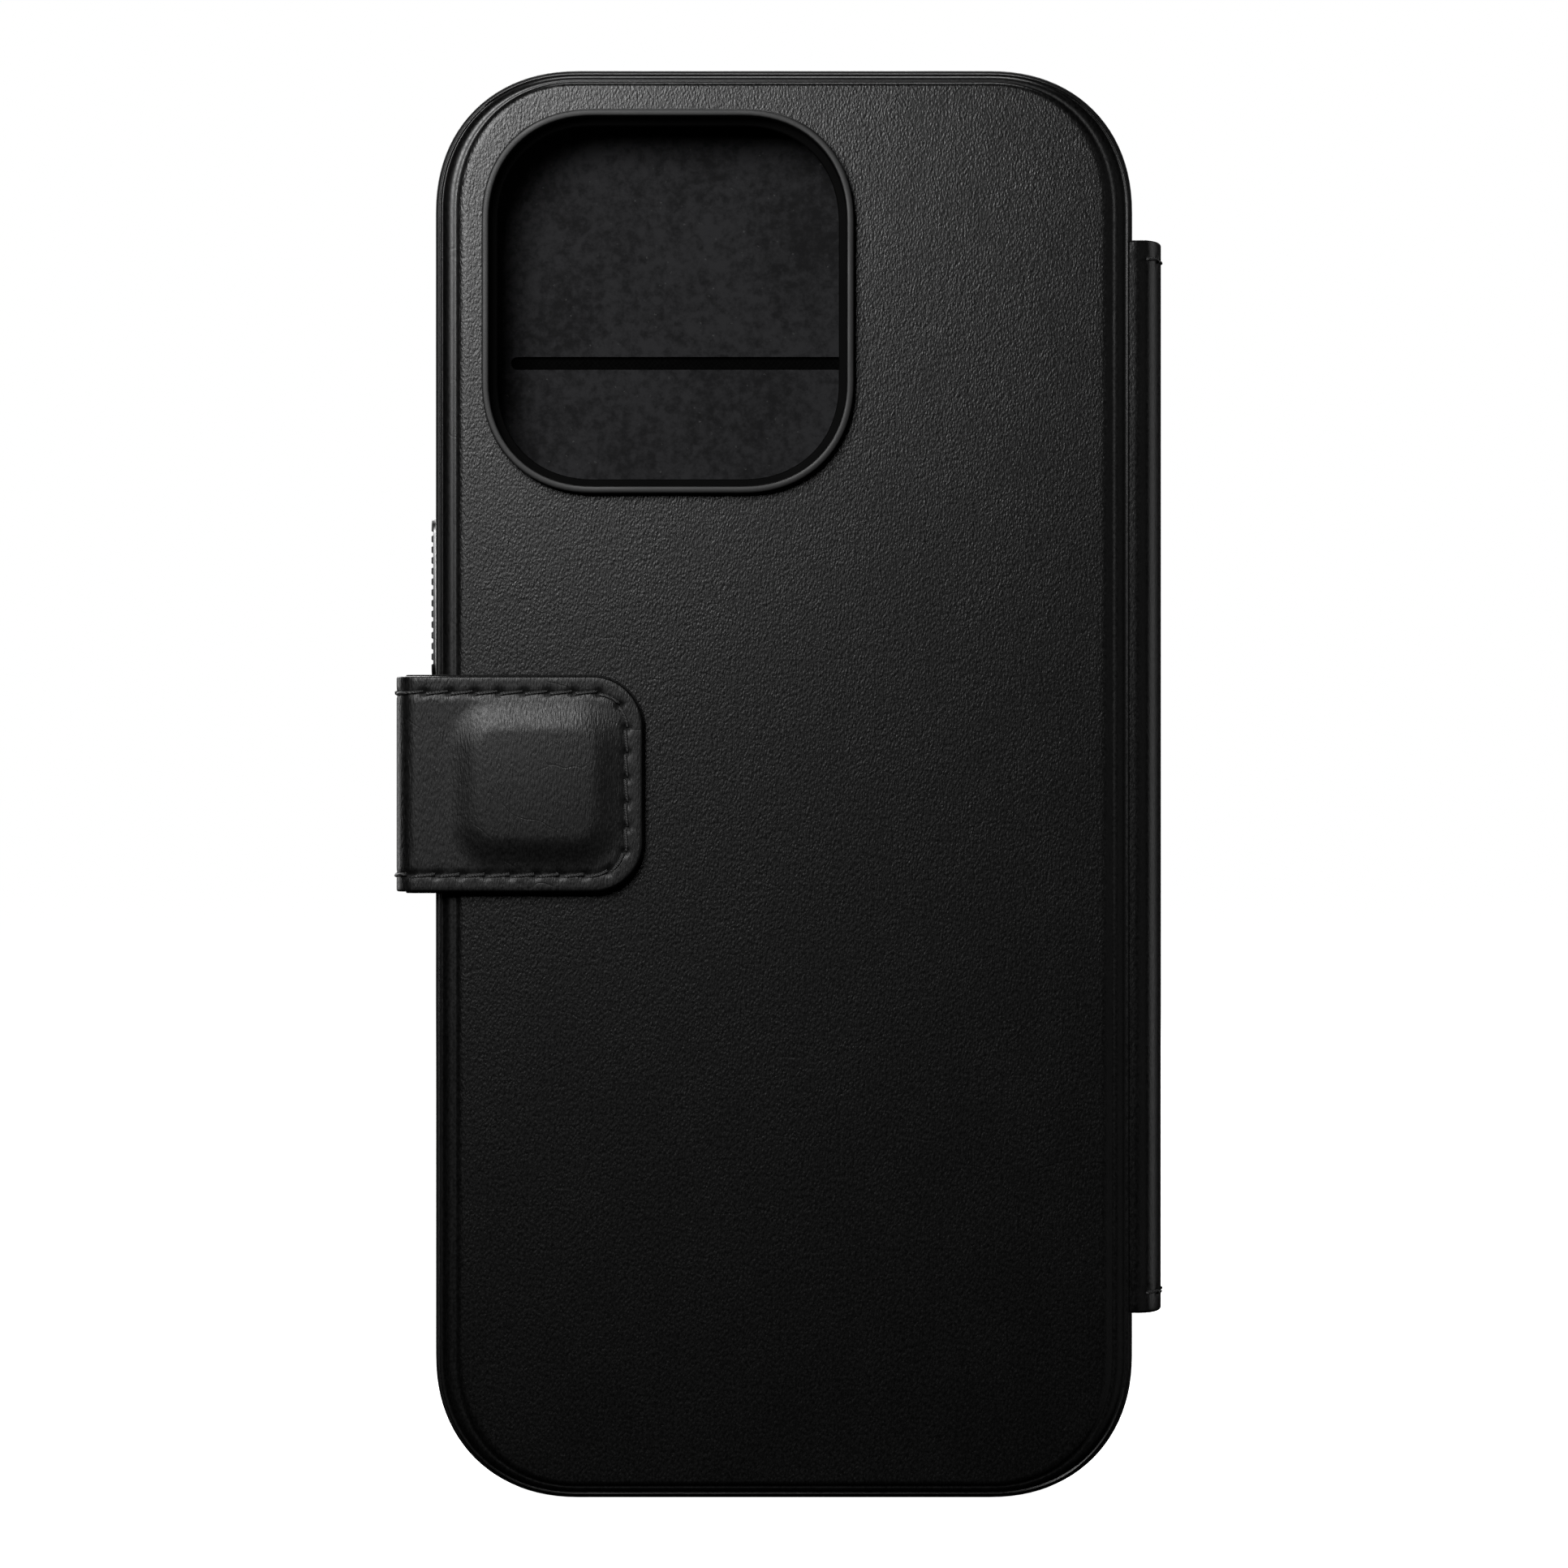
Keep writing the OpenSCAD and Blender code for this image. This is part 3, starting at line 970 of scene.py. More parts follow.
@dataclass(frozen=True)
class Thread(Finish):
    """Waxed twisted thread."""

    level: float = 0.075

    def paint(self, g: Graph) -> None:
        """Sets up the shader's nodes.

        Args:
            g: the material's nodes.
        """
        place = g.node("ShaderNodeSeparateXYZ", {0: g.coords((0.34, 0.34, 0.34))})
        along = g.math("ADD", place.outputs["X"], g.math("MULTIPLY", place.outputs["Z"], 1.3))
        along = g.math("ADD", along, place.outputs["Y"])
        twist = g.math("SINE", g.math("MULTIPLY", along, 2 * math.pi))
        fluff = g.noise(g.coords((0.08, 0.08, 0.08)), 3.0, 0.6)
        g.shade(
            Base_Color=g.greys(g.span(twist, -1.0, 1.0), self.level, 0.5, 1.4),
            Roughness=g.span(fluff, NOISE_LOW, NOISE_HIGH, 0.4, 0.55),
            Normal=g.bump(
                g.math("ADD", g.math("MULTIPLY", twist, 0.022), g.math("MULTIPLY", fluff, 0.01))
            ),
        )


@dataclass(frozen=True)
class Pulp(Finish):
    """Grey board or foam: soft lumps and short fibres."""

    level: float
    warmth: float = 0.0
    lump: float = 0.4

    def paint(self, g: Graph) -> None:
        """Sets up the shader's nodes.

        Args:
            g: the material's nodes.
        """
        lumps = g.noise(g.coords((self.lump,) * 3), 4.0, 0.65)
        fibre = g.noise(g.coords((0.1, 0.1, 1.2), 30.0), 2.0)
        mixed = g.math("ADD", g.math("MULTIPLY", lumps, 0.7), g.math("MULTIPLY", fibre, 0.3))
        g.shade(
            Base_Color=g.greys(mixed, self.level, 0.75, 1.25, self.warmth),
            Roughness=g.span(fibre, NOISE_LOW, NOISE_HIGH, 0.82, 0.95),
            Normal=g.bump(lumps, 0.04),
        )


class Look(Enum):
    """The finishes of the case, with the record's slot for each."""

    BACK = ("black_leather", Leather("back_leather_finish"))
    STRAP = (
        "black_leather",
        Leather(
            "strap_leather_finish", grain=(0.18, 0.25, 0.6), depth=0.027,
            creases=0.008, crease_size=(4.5, 6.0, 8.0), roughness=0.4,
        ),
    )
    SPINE = (
        "black_leather",
        Leather("spine_leather_finish", grain=(0.22, 0.22, 0.45), depth=0.016, creases=0.003),
    )
    COVER = ("black_leather", Leather("cover_leather_finish", grain=(0.21, 0.25, 0.34)))
    RUBBER = ("bumper_rubber", Moulded("bumper_finish", 0.004, 0.5))
    PLATE = ("plate_plastic", Moulded("plate_finish", 0.012, 0.6))
    RING = ("ring_metal", Satin("ring_finish", 0.022, 0.45))
    # Near-black, dull copy of the ring's finish: painted shade on the ring's walls and ledge.
    WALL = ("ring_metal", Satin("ring_wall_painted_shade", 0.002, 0.7, 0.08))
    BUTTON = ("button_metal", Metal("button_finish", 0.16, 0.34, (1.2, 0.05, 0.05)))
    # Light, rough copy of the button metal: a painted highlight standing for the white backdrop's
    # reflection on the cap's inner band.
    PAINTED_GLINT = ("button_metal", Metal("button_band_painted_highlight", 0.85, 0.55, (0.05, 0.05, 0.8)))
    NAP = ("microfibre", Nap("nap_finish"))
    CLOTH = ("lining_fabric", Woven("cloth_finish"))
    DARK_CLOTH = ("lining_fabric", Woven("pocket_cloth_finish", 0.0015, gloss=0.05))
    THREAD = ("thread", Thread("thread_finish"))
    BOARD = ("board", Pulp("board_finish", 0.25, 0.25))
    FOAM = ("padding", Pulp("foam_finish", 0.2, 0.0, 0.25))
    STEEL = ("latch_steel", Metal("latch_finish", 0.5, 0.35))
    PLATED = ("magnet_metal", Metal("magnet_finish", 0.6, 0.18))


@dataclass(frozen=True)
class Bend:
    """Two bodies that a piece lies between, and its place in millimetres; the piece is not bent."""

    first: str
    second: str
    start: tuple[float, float]
    end: tuple[float, float]


@dataclass
class Workshop:
    """Makes materials once, and turns meshes into named pieces on their bodies."""

    made: dict[Look, bpy.types.Material] = field(default_factory=dict)

    def material(self, look: Look) -> bpy.types.Material:
        """The material of a look."""
        if look not in self.made:
            self.made[look] = look.value[1].make()
        return self.made[look]

    def piece(
        self,
        name: str,
        mesh: bmesh.types.BMesh,
        look: Look,
        on: str | Bend,
        stands_for: Sequence[str] = (),
        cut: bmesh.types.BMesh | None = None,
        sharp: float = 50.0,
    ) -> bpy.types.Object:
        """Makes one finished piece.

        Args:
            name: the piece's name.
            mesh: its mesh, in millimetres.
            look: its finish.
            on: the body it rides on, or a Bend, which leaves it unattached with its transform baked
                in.
            stands_for: the CAD nodes that it replaces.
            cut: a shape to take out of it.
            sharp: the angle past which an edge is shown sharp, in degrees.

        Returns:
            The piece.
        """
        made = as_object(name, mesh)
        made.data.materials.append(self.material(look))
        if cut is not None:
            carve(made, cut)
        made.data.shade_smooth()
        made.data.set_sharp_from_angle(angle=math.radians(sharp))
        if isinstance(on, Bend):
            height = Box.of("spine_leather").middle.z
            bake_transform(made)
        else:
            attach(made, on)
        if stands_for:
            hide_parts(*stands_for)
        log.info("%s: %d faces", name, len(made.data.polygons))
        return made

    def dress(self, look: Look, *nodes: str) -> None:
        """Gives CAD nodes whose shape is right a material of this look.

        Args:
            look: the finish.
            nodes: the CAD nodes.
        """
        for node in nodes:
            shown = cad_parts[node]
            for slot in shown.material_slots:
                slot.material = self.material(look)
            log.info("%s: kept from the frame", node)


# ---- the sub-assemblies


@dataclass
class Shell:
    """The tray that holds the phone: bumper, plate, leather back, ring and lining."""

    shop: Workshop
    wall: float = 1.5
    leather_margin: float = 0.35
    corner: float = 15.3
    ring_corner: float = 12.0
    ring_face: float = 0.74
    ring_step: float = 1.58
    worn_rise: tuple[float, float] = (0.66, 0.86)
    ports: tuple[tuple[float, float, float], ...] = (
        (0.0, 12.5, 6.2), (-16.5, 9.0, 2.6), (16.5, 9.0, 2.6)
    )
    edge_profile: tuple[tuple[float, float], ...] = (
        (0.35, 0.0), (0.35, 0.12), (0.39, 0.2), (0.47, 0.24), (0.56, 0.22), (0.64, 0.16),
        (0.74, 0.15), (0.88, 0.24), (1.05, 0.38), (1.25, 0.5), (1.5, 0.59), (1.75, 0.63),
        (1.95, 0.63), (2.12, 0.61), (2.25, 0.63), (2.42, 0.71), (2.62, 0.8), (2.85, 0.86),
        (3.1, 0.89), (3.3, 0.9), (3.45, 0.9),
    )

    def outline(self, **extra: object) -> SoftRect:
        """The outline of the bumper."""
        return SoftRect.of("bumper_rim", self.corner, **extra)

    def window(self) -> SoftRect:
        """The outline of the camera ring."""
        return SoftRect.of("camera_ring", self.ring_corner)

    def leather_back(self) -> None:
        """The leather: a thin bead, a soft band, a crease, and the grained face."""
        box = Box.of("back_leather")
        bm = bmesh.new()
        worn = bm.verts.layers.float.new("worn")
        outline, hole = self.outline(corner_steps=28), self.window()
        rings = [
            outline.ring(d, box.hi.y - rise, self.leather_margin + (d - self.leather_margin) * 0.5)
            for d, rise in self.edge_profile
        ]
        first, last = loft(bm, rings)
        for v in bm.verts:
            v[worn] = 1 - step_between(*self.worn_rise, box.hi.y - v.co.y)
        low, high = loft(bm, [hole.ring(0.3, box.hi.y), hole.ring(0.3, box.lo.y)])
        filled(bm, last + high)
        filled(bm, first + low)
        self.shop.piece("leather_back", bm, Look.BACK, "shell", ["back_leather"])

    def bumper(self, pockets: bmesh.types.BMesh) -> None:
        """The soft rim, with rounded edges and a lip, and its pockets and ports cut out.

        Args:
            pockets: the shape of the button pockets.
        """
        box = Box.of("bumper_rim")
        back, front = box.lo.y, box.hi.y
        lip, reach = front - 0.9, self.wall + 1.0
        profile = (
            (0.33, back), (0.14, back + 0.06), (0.04, back + 0.18), (0.0, back + 0.36),
            (0.0, front - 1.0), (0.05, front - 0.62), (0.2, front - 0.28),
            (0.44, front - 0.08), (0.75, front), (reach - 0.3, front),
            (reach - 0.08, front - 0.08), (reach, front - 0.3), (reach, lip),
            (self.wall, lip), (self.wall, -0.4), (0.95, -0.4), (0.95, back),
        )
        outline = self.outline(corner_steps=24)
        bm = bmesh.new()
        loft(bm, [outline.ring(inset, y) for inset, y in profile], close=True)
        depth = Box.of("side_button").middle.y
        for x, width, height in self.ports:
            shape = stadium((depth, x), width, height)
            capped(pockets, [[Vector((b, a, z)) for a, b in shape] for z in (-1.0, 1.45)])
        self.shop.piece("bumper", bm, Look.RUBBER, "shell", ["bumper_rim"], cut=pockets)

    def ring(self) -> None:
        """The camera ring: flat face, crisp bevels, a deep inner wall and a ledge, with painted
        shade on every face below the flat face.
        """
        box = Box.of("camera_ring")
        top, low = box.lo.y, box.hi.y
        profile = (
            (0.0, low), (0.0, top + 0.2), (0.03, top + 0.1), (0.1, top + 0.03),
            (0.19, top), (self.ring_face - 0.12, top), (self.ring_face - 0.04, top + 0.03),
            (self.ring_face, top + 0.12), (self.ring_face, -1.62),
            (self.ring_face + 0.1, -1.52), (self.ring_step - 0.1, -1.5),
            (self.ring_step, -1.4), (self.ring_step, low),
        )
        outline = self.window()
        bm = bmesh.new()
        loft(bm, [outline.ring(inset, y) for inset, y in profile], close=True)
        made = self.shop.piece(
            "camera_ring_trim", bm, Look.RING, "shell", ["camera_ring"], sharp=60
        )
        made.data.materials.append(self.shop.material(Look.WALL))
        # Faces deeper than the ring's face take the near-black finish: painted shade on the walls
        # and ledge.
        for face in made.data.polygons:
            face.material_index = int(face.center.y > (top + 0.13) * MM)

    def lining(self) -> None:
        """The microfibre under the phone, with the camera window cut in it."""
        box = Box.of("tray_lining")
        outline, hole = self.outline(corner_steps=24), self.window()
        bm = bmesh.new()
        inset = self.wall + 0.04
        first, last = loft(
            bm,
            [
                outline.ring(inset, box.hi.y - 0.02), outline.ring(inset, box.lo.y + 0.1),
                outline.ring(inset + 0.1, box.lo.y), outline.ring(inset + 0.3, box.lo.y),
            ],
        )
        low, high = loft(
            bm, [hole.ring(-0.1, box.hi.y - 0.02), hole.ring(-0.1, box.lo.y)]
        )
        filled(bm, first + low)
        filled(bm, last + high)
        self.shop.piece("tray_nap", bm, Look.NAP, "shell", ["tray_lining"])

    def build(self, pockets: bmesh.types.BMesh) -> None:
        """Builds the whole shell.

        Args:
            pockets: the shape of the button pockets.
        """
        self.leather_back()
        self.bumper(pockets)
        self.ring()
        self.lining()
        self.shop.dress(Look.PLATE, "back_plate")
        self.shop.dress(Look.STEEL, "latch_plate")


@dataclass
class Buttons:
    """The metal caps in the bumper, one knurled, each with a painted highlight on its inner band,
    and the pads behind them.
    """

    shop: Workshop
    play: float = 0.15
    floor: float = 0.95
    groove_pitch: float = 1.15
    groove_depth: float = 0.2
    band: float = 37.45
    groove_half: float = 0.17
    groove_mouth: float = 0.9
    cap_edge: tuple[tuple[float, float], ...] = ((0.3, 0.0), (0.16, 0.03), (0.06, 0.1), (0.0, 0.24))
    names: tuple[tuple[str, str], ...] = (
        ("side_button", "side_button_pad"),
        ("volume_up_button", "volume_up_pad"),
        ("volume_down_button", "volume_down_pad"),
        ("action_button", "action_button_pad"),
    )

    def section(self, box: Box, x: float, inset: float) -> list[Vector]:
        """The cap's rounded outline at one X, drawn in by a margin."""
        shape = stadium(
            (box.middle.y, box.middle.z), box.size.z - 2 * inset, box.size.y - 2 * inset
        )
        return [Vector((x, y, z)) for y, z in shape]

    def pockets(self) -> bmesh.types.BMesh:
        """The space that each cap moves in.

        Returns:
            The pockets' shape, which is cut out of the bumper.
        """
        bm = bmesh.new()
        wall = Box.of("bumper_rim").hi.x
        for name, _ in self.names:
            box = Box.of(name)
            side = 1 if box.middle.x > 0 else -1
            capped(
                bm,
                [self.section(box, side * (wall + out), -self.play) for out in (-self.floor, 1)],
            )
        return bm

    def grooves(self, box: Box) -> bmesh.types.BMesh:
        """The cuts across the knurled cap.

        Args:
            box: the box of the cap.

        Returns:
            The shape to take out of it.
        """
        bm = bmesh.new()
        count = int(box.size.z / self.groove_pitch) - 2
        deep, out = box.lo.x + self.groove_depth, box.lo.x - 1
        for i in range(count):
            z = box.middle.z + (i - (count - 1) / 2) * self.groove_pitch
            shape = (
                (deep, -self.groove_half), (deep, self.groove_half),
                (out, self.groove_mouth), (out, -self.groove_mouth),
            )
            capped(
                bm,
                [
                    [Vector((x, y, z + rise)) for x, rise in shape]
                    for y in (box.lo.y - 1, box.hi.y + 1)
                ],
            )
        return bm

    def build(self) -> None:
        """Builds every cap, and dresses the pads."""
        for name, pad in self.names:
            box = Box.of(name)
            side = 1 if box.middle.x > 0 else -1
            outer, inner = (box.hi.x, box.lo.x) if side > 0 else (box.lo.x, box.hi.x)
            rings = [self.section(box, inner, 0.0), self.section(box, side * self.band, 0.0)]
            rings += [
                self.section(box, outer - side * back, inset) for back, inset in self.cap_edge
            ]
            bm = bmesh.new()
            capped(bm, rings)
            knurled = name == "side_button"
            made = self.shop.piece(
                name + "_cap", bm, Look.BUTTON, name, [name],
                cut=self.grooves(box) if knurled else None, sharp=35,
            )
            # Faces inward of the band line take the light metal: a painted highlight along the
            # cap's edge by the body.
            made.data.materials.append(self.shop.material(Look.PAINTED_GLINT))
            for face in made.data.polygons:
                face.material_index = int(abs(face.center.x) < self.band * MM)
            self.shop.dress(Look.RUBBER, pad)


@dataclass
class Spine:
    """The rolled leather between shell and cover, and its end stitches."""

    shop: Workshop
    leather_out: float = 0.7
    leather_in: float = -0.3
    lining_in: float = -0.7
    end_inset: float = 2.1
    seam_start: float = 2.75
    seam_tilt: float = 0.2
    thin_share: float = 0.43
    bulge: tuple[float, float] = (39.95, 5.7)
    round_edge: float = 0.3
    inner_edge: float = 0.1
    mid_line: tuple[tuple[float, float], ...] = (
        (35.6, -1.2), (36.6, -1.2), (37.4, -1.22), (38.05, -1.1), (38.55, -0.55),
        (39.13, 0.6), (39.54, 2.0), (39.86, 4.0), (39.95, 5.7), (39.86, 7.4),
        (39.54, 9.4), (39.13, 10.8), (38.55, 11.95), (38.05, 12.45), (37.4, 12.6),
        (36.6, 12.6), (35.6, 12.6),
    )

    def __post_init__(self) -> None:
        """Measures the route and where the two halves meet."""
        self.route = Route(smoothed(self.mid_line))
        self.middle = self.route.nearest(self.bulge)
        box = Box.of("spine_leather")
        self.low, self.high = box.lo.z, box.hi.z

    def thinning(self, s: float) -> float:
        """The share of its thickness that the leather has at a place."""
        ends = min(s, self.route.length - s)
        return self.thin_share + (1 - self.thin_share) * step_between(1.4, 3.6, ends)

    def seams(self, low: float, high: float) -> list[Seam]:
        """The two end seams between two places along the route.

        Args:
            low: the place where they start.
            high: the place where they end.

        Returns:
            The seam near each end of the spine.
        """
        return [
            Seam(
                Route([(low, z + self.seam_tilt), (high, z - self.seam_tilt)]),
                self.slab(0, 1, 0, 0, ()).lay, self.leather_out, first=0.0, pitch=2.7, slant=0.1,
            )
            for z in (self.low + self.end_inset, self.high - self.end_inset)
        ]

    def slab(
        self, start: float, end: float, inner: float, outer: float,
        pits: Sequence[tuple[float, float]],
    ) -> Slab:
        """A band of the spine between two distances out from its middle line.

        Args:
            start: where it starts along the route.
            end: where it ends.
            inner: how far out its back lies.
            outer: how far out its face lies.
            pits: the needle holes.

        Returns:
            The band.
        """
        edge = self.round_edge if outer > 0 else self.inner_edge
        return Slab(
            self.route, start, end, self.low, self.high,
            face=lambda s, z, m: outer * self.thinning(s) - rounding(m, edge),
            back=lambda s, z, m: inner * self.thinning(s) + rounding(m, self.inner_edge),
            step=0.6, pits=pits,
            edge_lines=(0, 0.03, 0.1, 0.2, 0.32, 0.9, 1.4, 1.8, 2.1, 2.4, 2.9),
        )

    def build(self) -> None:
        """Builds the two halves, which meet at the bulge, their linings and the stitches."""
        back = Bend("shell", "spine", (37.3, -1.2), (38.9, 1.2))
        front = Bend("spine", "cover", (38.9, 10.2), (37.3, 12.6))
        last = self.route.length
        halves = (
            ("back", 0.0, self.middle, self.seam_start, self.middle, back,
             ["spine_root", "spine_leather"]),
            ("front", self.middle, last, self.middle, last - self.seam_start, front,
             ["spine_leather"]),
        )
        for name, start, end, sewn_from, sewn_to, bend, nodes in halves:
            seams = self.seams(sewn_from, sewn_to)
            holes = [hole for seam in seams for hole in seam.holes()]
            skin = self.slab(start, end, self.leather_in, self.leather_out, holes).mesh()
            self.shop.piece(f"spine_skin_{name}", skin, Look.SPINE, bend, nodes)
            cloth = self.slab(start, end, self.lining_in, self.leather_in - 0.02, ()).mesh()
            self.shop.piece(f"spine_cloth_{name}", cloth, Look.CLOTH, bend, ["spine_lining"])
            thread = bmesh.new()
            for seam in seams:
                seam.sew(thread)
            self.shop.piece(f"spine_stitches_{name}", thread, Look.THREAD, bend, ["spine_thread"])


@dataclass
class Cover:
    """The front cover: leather, board, and the napped lining with its card slots."""

    shop: Workshop
    corner: float = 15.3
    edge: float = 36.9
    margin: float = 3.2
    side_steps: tuple[int, int] = (66, 184)
    points_per_stitch: int = 4
    slot_length: float = 59.2
    slot_width: float = 1.4
    pocket_nodes: tuple[str, ...] = (
        "card_pocket_upper", "card_pocket_middle", "card_pocket_lower"
    )
    leather_profile: tuple[tuple[float, float], ...] = (
        (1.45, -0.99), (1.45, -1.84), (0.3, -1.84), (0.08, -1.78), (0.0, -1.6),
        (0.0, -0.8), (0.06, -0.5), (0.23, -0.23), (0.5, -0.07), (0.8, 0.0), (1.4, 0.0),
        (1.6, -0.02), (1.75, -0.07), (1.9, -0.1), (2.05, -0.07), (2.2, -0.02), (2.4, 0.0),
        (2.6, 0.0),
    )

    def outline(self, fine: bool = False) -> SoftRect:
        """The cover's outline: the shell's, cut straight along the spine."""
        steps = self.side_steps if fine else (1, 1)
        return SoftRect.of(
            "bumper_rim", self.corner, corner_steps=24, side_steps=steps, limit=self.edge
        )

    def leather(self) -> None:
        """The outer leather, turned in round the edge, with its row of stitches."""
        outside = Box.of("cover_leather").hi.y
        outline = self.outline(fine=True)
        every = self.points_per_stitch
        loop = [(p.x, p.z) for p in outline.ring(STITCH_INSET, outside)[::every]]
        path = Route([*loop, loop[0]])
        bm = bmesh.new()
        order, pit_and_shade = order_layer(bm), bm.verts.layers.float.new("pit_and_shade")
        rings = []
        for inset, rise in self.leather_profile:
            ring = outline.ring(inset, outside + rise)
            for spot in ring[::every]:
                spot.y -= 0.3 * bell(inset - STITCH_INSET, 0.22)
            rings.append(ring)
        capped(bm, rings)
        # Vertices at the stitch points in the groove are marked for painted shade in the leather's
        # needle holes.
        for v in bm.verts:
            sunk = outside - 0.5 < v.co.y < outside - 0.16
            v[pit_and_shade] = float(sunk and v[order] % every == 0)
        self.shop.piece("cover_skin", bm, Look.COVER, "cover", ["cover_leather"])
        seam = Seam(
            path, lambda x, z, h: Vector((x, outside + h, z)), 0.0, first=0.0,
            pitch=path.length / len(loop),
        )
        thread = bmesh.new()
        seam.sew(thread)
        self.shop.piece("cover_stitches", thread, Look.THREAD, "cover", ["cover_thread"])

    def lining(self) -> None:
        """The napped panel that faces the phone, with three slots through it."""
        box = Box.of("cover_lining")
        face, rim = box.lo.y, box.hi.y - 0.08
        profile = (
            (self.margin, rim), (0.12, rim), (0.02, rim - 0.08), (0.0, rim - 0.25),
            (0.0, face + 0.45), (0.08, face + 0.2), (0.25, face + 0.05), (0.5, face),
            (0.7, face),
        )
        outline = self.outline()
        bm = bmesh.new()
        first, last = loft(bm, [outline.ring(inset, y) for inset, y in profile])
        well = loft(bm, [outline.ring(self.margin, face + 0.5)])[0]
        bmesh.ops.contextual_create(bm, geom=last)
        bmesh.ops.contextual_create(bm, geom=well)
        bmesh.ops.bridge_loops(bm, edges=first + well)
        slots = bmesh.new()
        for node in self.pocket_nodes:
            z = Box.of(node).hi.z - self.slot_width
            shape = stadium((z, 0.0), self.slot_length, self.slot_width)
            capped(slots, [[Vector((x, y, a)) for a, x in shape] for y in (face - 1, face + 1)])
        self.shop.piece("cover_nap", bm, Look.NAP, "cover", ["cover_lining"], cut=slots)

    def pockets(self) -> None:
        """The thin cloth sheets behind the slots, sewn at their edges."""
        outline = self.outline()
        for node in self.pocket_nodes:
            box = Box.of(node)
            bm = bmesh.new()
            rings = [
                outline.ring(self.margin + 0.05 + inset, y)
                for inset, y in (
                    (0.06, box.lo.y), (0.0, box.lo.y + 0.06), (0.0, box.hi.y - 0.06),
                    (0.06, box.hi.y),
                )
            ]
            capped(bm, [[Vector((p.x, p.y, min(p.z, box.hi.z))) for p in r] for r in rings])
            bmesh.ops.remove_doubles(bm, verts=bm.verts[:], dist=WELD)
            self.shop.piece(node + "_sheet", bm, Look.DARK_CLOTH, "cover", [node])

    def build(self) -> None:
        """Builds the whole cover."""
        self.leather()
        self.lining()
        self.pockets()
        self.shop.dress(Look.BOARD, "cover_board")


@dataclass
class Strap:
    """The strap from the cover round the edge to the padded, magnetic end."""

    shop: Workshop
    seam_side: float = -40.4
    seam_front: float = 11.9
    seam_back: float = -3.4
    root: float = -33.5
    fold_radius: float = 1.2
    leather: float = 1.0
    lining: float = 0.8
    layer_step: float = 0.17
    layer_gap: float = 0.02
    round_edge: float = 0.24
    corner: float = 5.5
    pad_size: tuple[float, float] = (19.4, 18.9)
    pad_corner: float = 5.6
    pad_slope: float = 3.9
    pad_rise: float = 0.3
    crown: float = 0.38
    crown_reach: float = 9.0
    skin: float = 0.55
    groove: float = 0.07
    groove_width: float = 0.3
    hollow_edge: float = 0.06
    cloth_edges: tuple[float, float] = (0.14, 0.2)
    foam_corner: float = 3.4
    foam_inset: float = 0.3
    magnet_gap: float = 0.02

    def __post_init__(self) -> None:
        """Measures the route, the bands and the place of the pad."""
        tab = Box.of("strap_tab_leather")
        pad = Box.of("strap_padding")
        self.low, self.high = tab.lo.z, tab.hi.z
        self.route = Route(
            filleted(
                [
                    (self.root, self.seam_front), (self.seam_side, self.seam_front),
                    (self.seam_side, self.seam_back), (tab.hi.x, self.seam_back),
                ],
                self.fold_radius,
            )
        )
        self.middle = self.route.nearest((self.seam_side, 4.25))
        self.pad_at = (self.route.length - (tab.hi.x - pad.middle.x), pad.middle.z)

    def swell(self, s: float, z: float) -> tuple[float, float]:
        """How the pad lifts the leather at a place.

        Args:
            s: the distance along the route.
            z: the height across it.

        Returns:
            The share of the pad's slope climbed there, and the pad's height.
        """
        half = [side / 2 - self.pad_corner for side in self.pad_size]
        off_s, off_z = s - self.pad_at[0], z - self.pad_at[1]
        a = max(abs(off_s) - half[0], 0.0)
        b = max(abs(off_z) - half[1], 0.0)
        inside = self.pad_corner - math.hypot(a, b)
        if a == 0 or b == 0:
            inside = min(
                half[0] + self.pad_corner - abs(off_s), half[1] + self.pad_corner - abs(off_z)
            )
        reach = self.crown_reach
        dome = 1 - (off_s / reach) ** 2 / 2 - (off_z / reach) ** 2 / 2
        lift = step_between(0.0, self.pad_slope, inside)
        return lift, lift * (self.pad_rise + self.crown * max(dome, 0.0))

    def face(self, s: float, z: float, margin: float) -> float:
        """The height of the leather's face.

        Args:
            s: the distance along the route.
            z: the height across it.
            margin: the distance from the nearest edge.

        Returns:
            The height above the seam between leather and lining.
        """
        groove = self.groove * bell(margin - STITCH_INSET, self.groove_width)
        fall = rounding(margin, self.round_edge)
        return self.leather - fall - groove + self.swell(s, z)[1]

    def hollow(self, s: float, z: float, margin: float) -> float:
        """The height of the leather's back, hollow under the pad.

        Args:
            s: the distance along the route.
            z: the height across it.
            margin: the distance from the nearest edge.

        Returns:
            The height above the seam between leather and lining.
        """
        lift, height = self.swell(s, z)
        under = lift * (self.leather + height - self.skin)
        return self.layer_gap + under + rounding(margin, self.hollow_edge)

    def slab(self, start: float, end: float, free: bool, upper: bool,
             pits: Sequence[tuple[float, float]] = ()) -> Slab:
        """One layer of the strap between two places.

        Args:
            start: where it starts along the route.
            end: where it ends.
            free: whether its end is the strap's own round end.
            upper: whether it is the leather, or else the lining.
            pits: the needle holes.

        Returns:
            The band.
        """
        trim = self.layer_step if upper else 0.0
        outer, inner = self.cloth_edges
        return Slab(
            self.route, start, end - (trim if free else 0.0),
            self.low + trim, self.high - trim,
            face=self.face if upper else lambda s, z, m: -rounding(m, outer),
            back=self.hollow if upper else lambda s, z, m: -self.lining + rounding(m, inner),
            corner=self.corner - trim if free else 0.0, free_end=free, pits=pits,
            edge_lines=(0, 0.02, 0.07, 0.15, 0.24, 0.6, 1.0, 1.35, 1.6, 1.75, 1.9, 2.05, 2.3),
        )

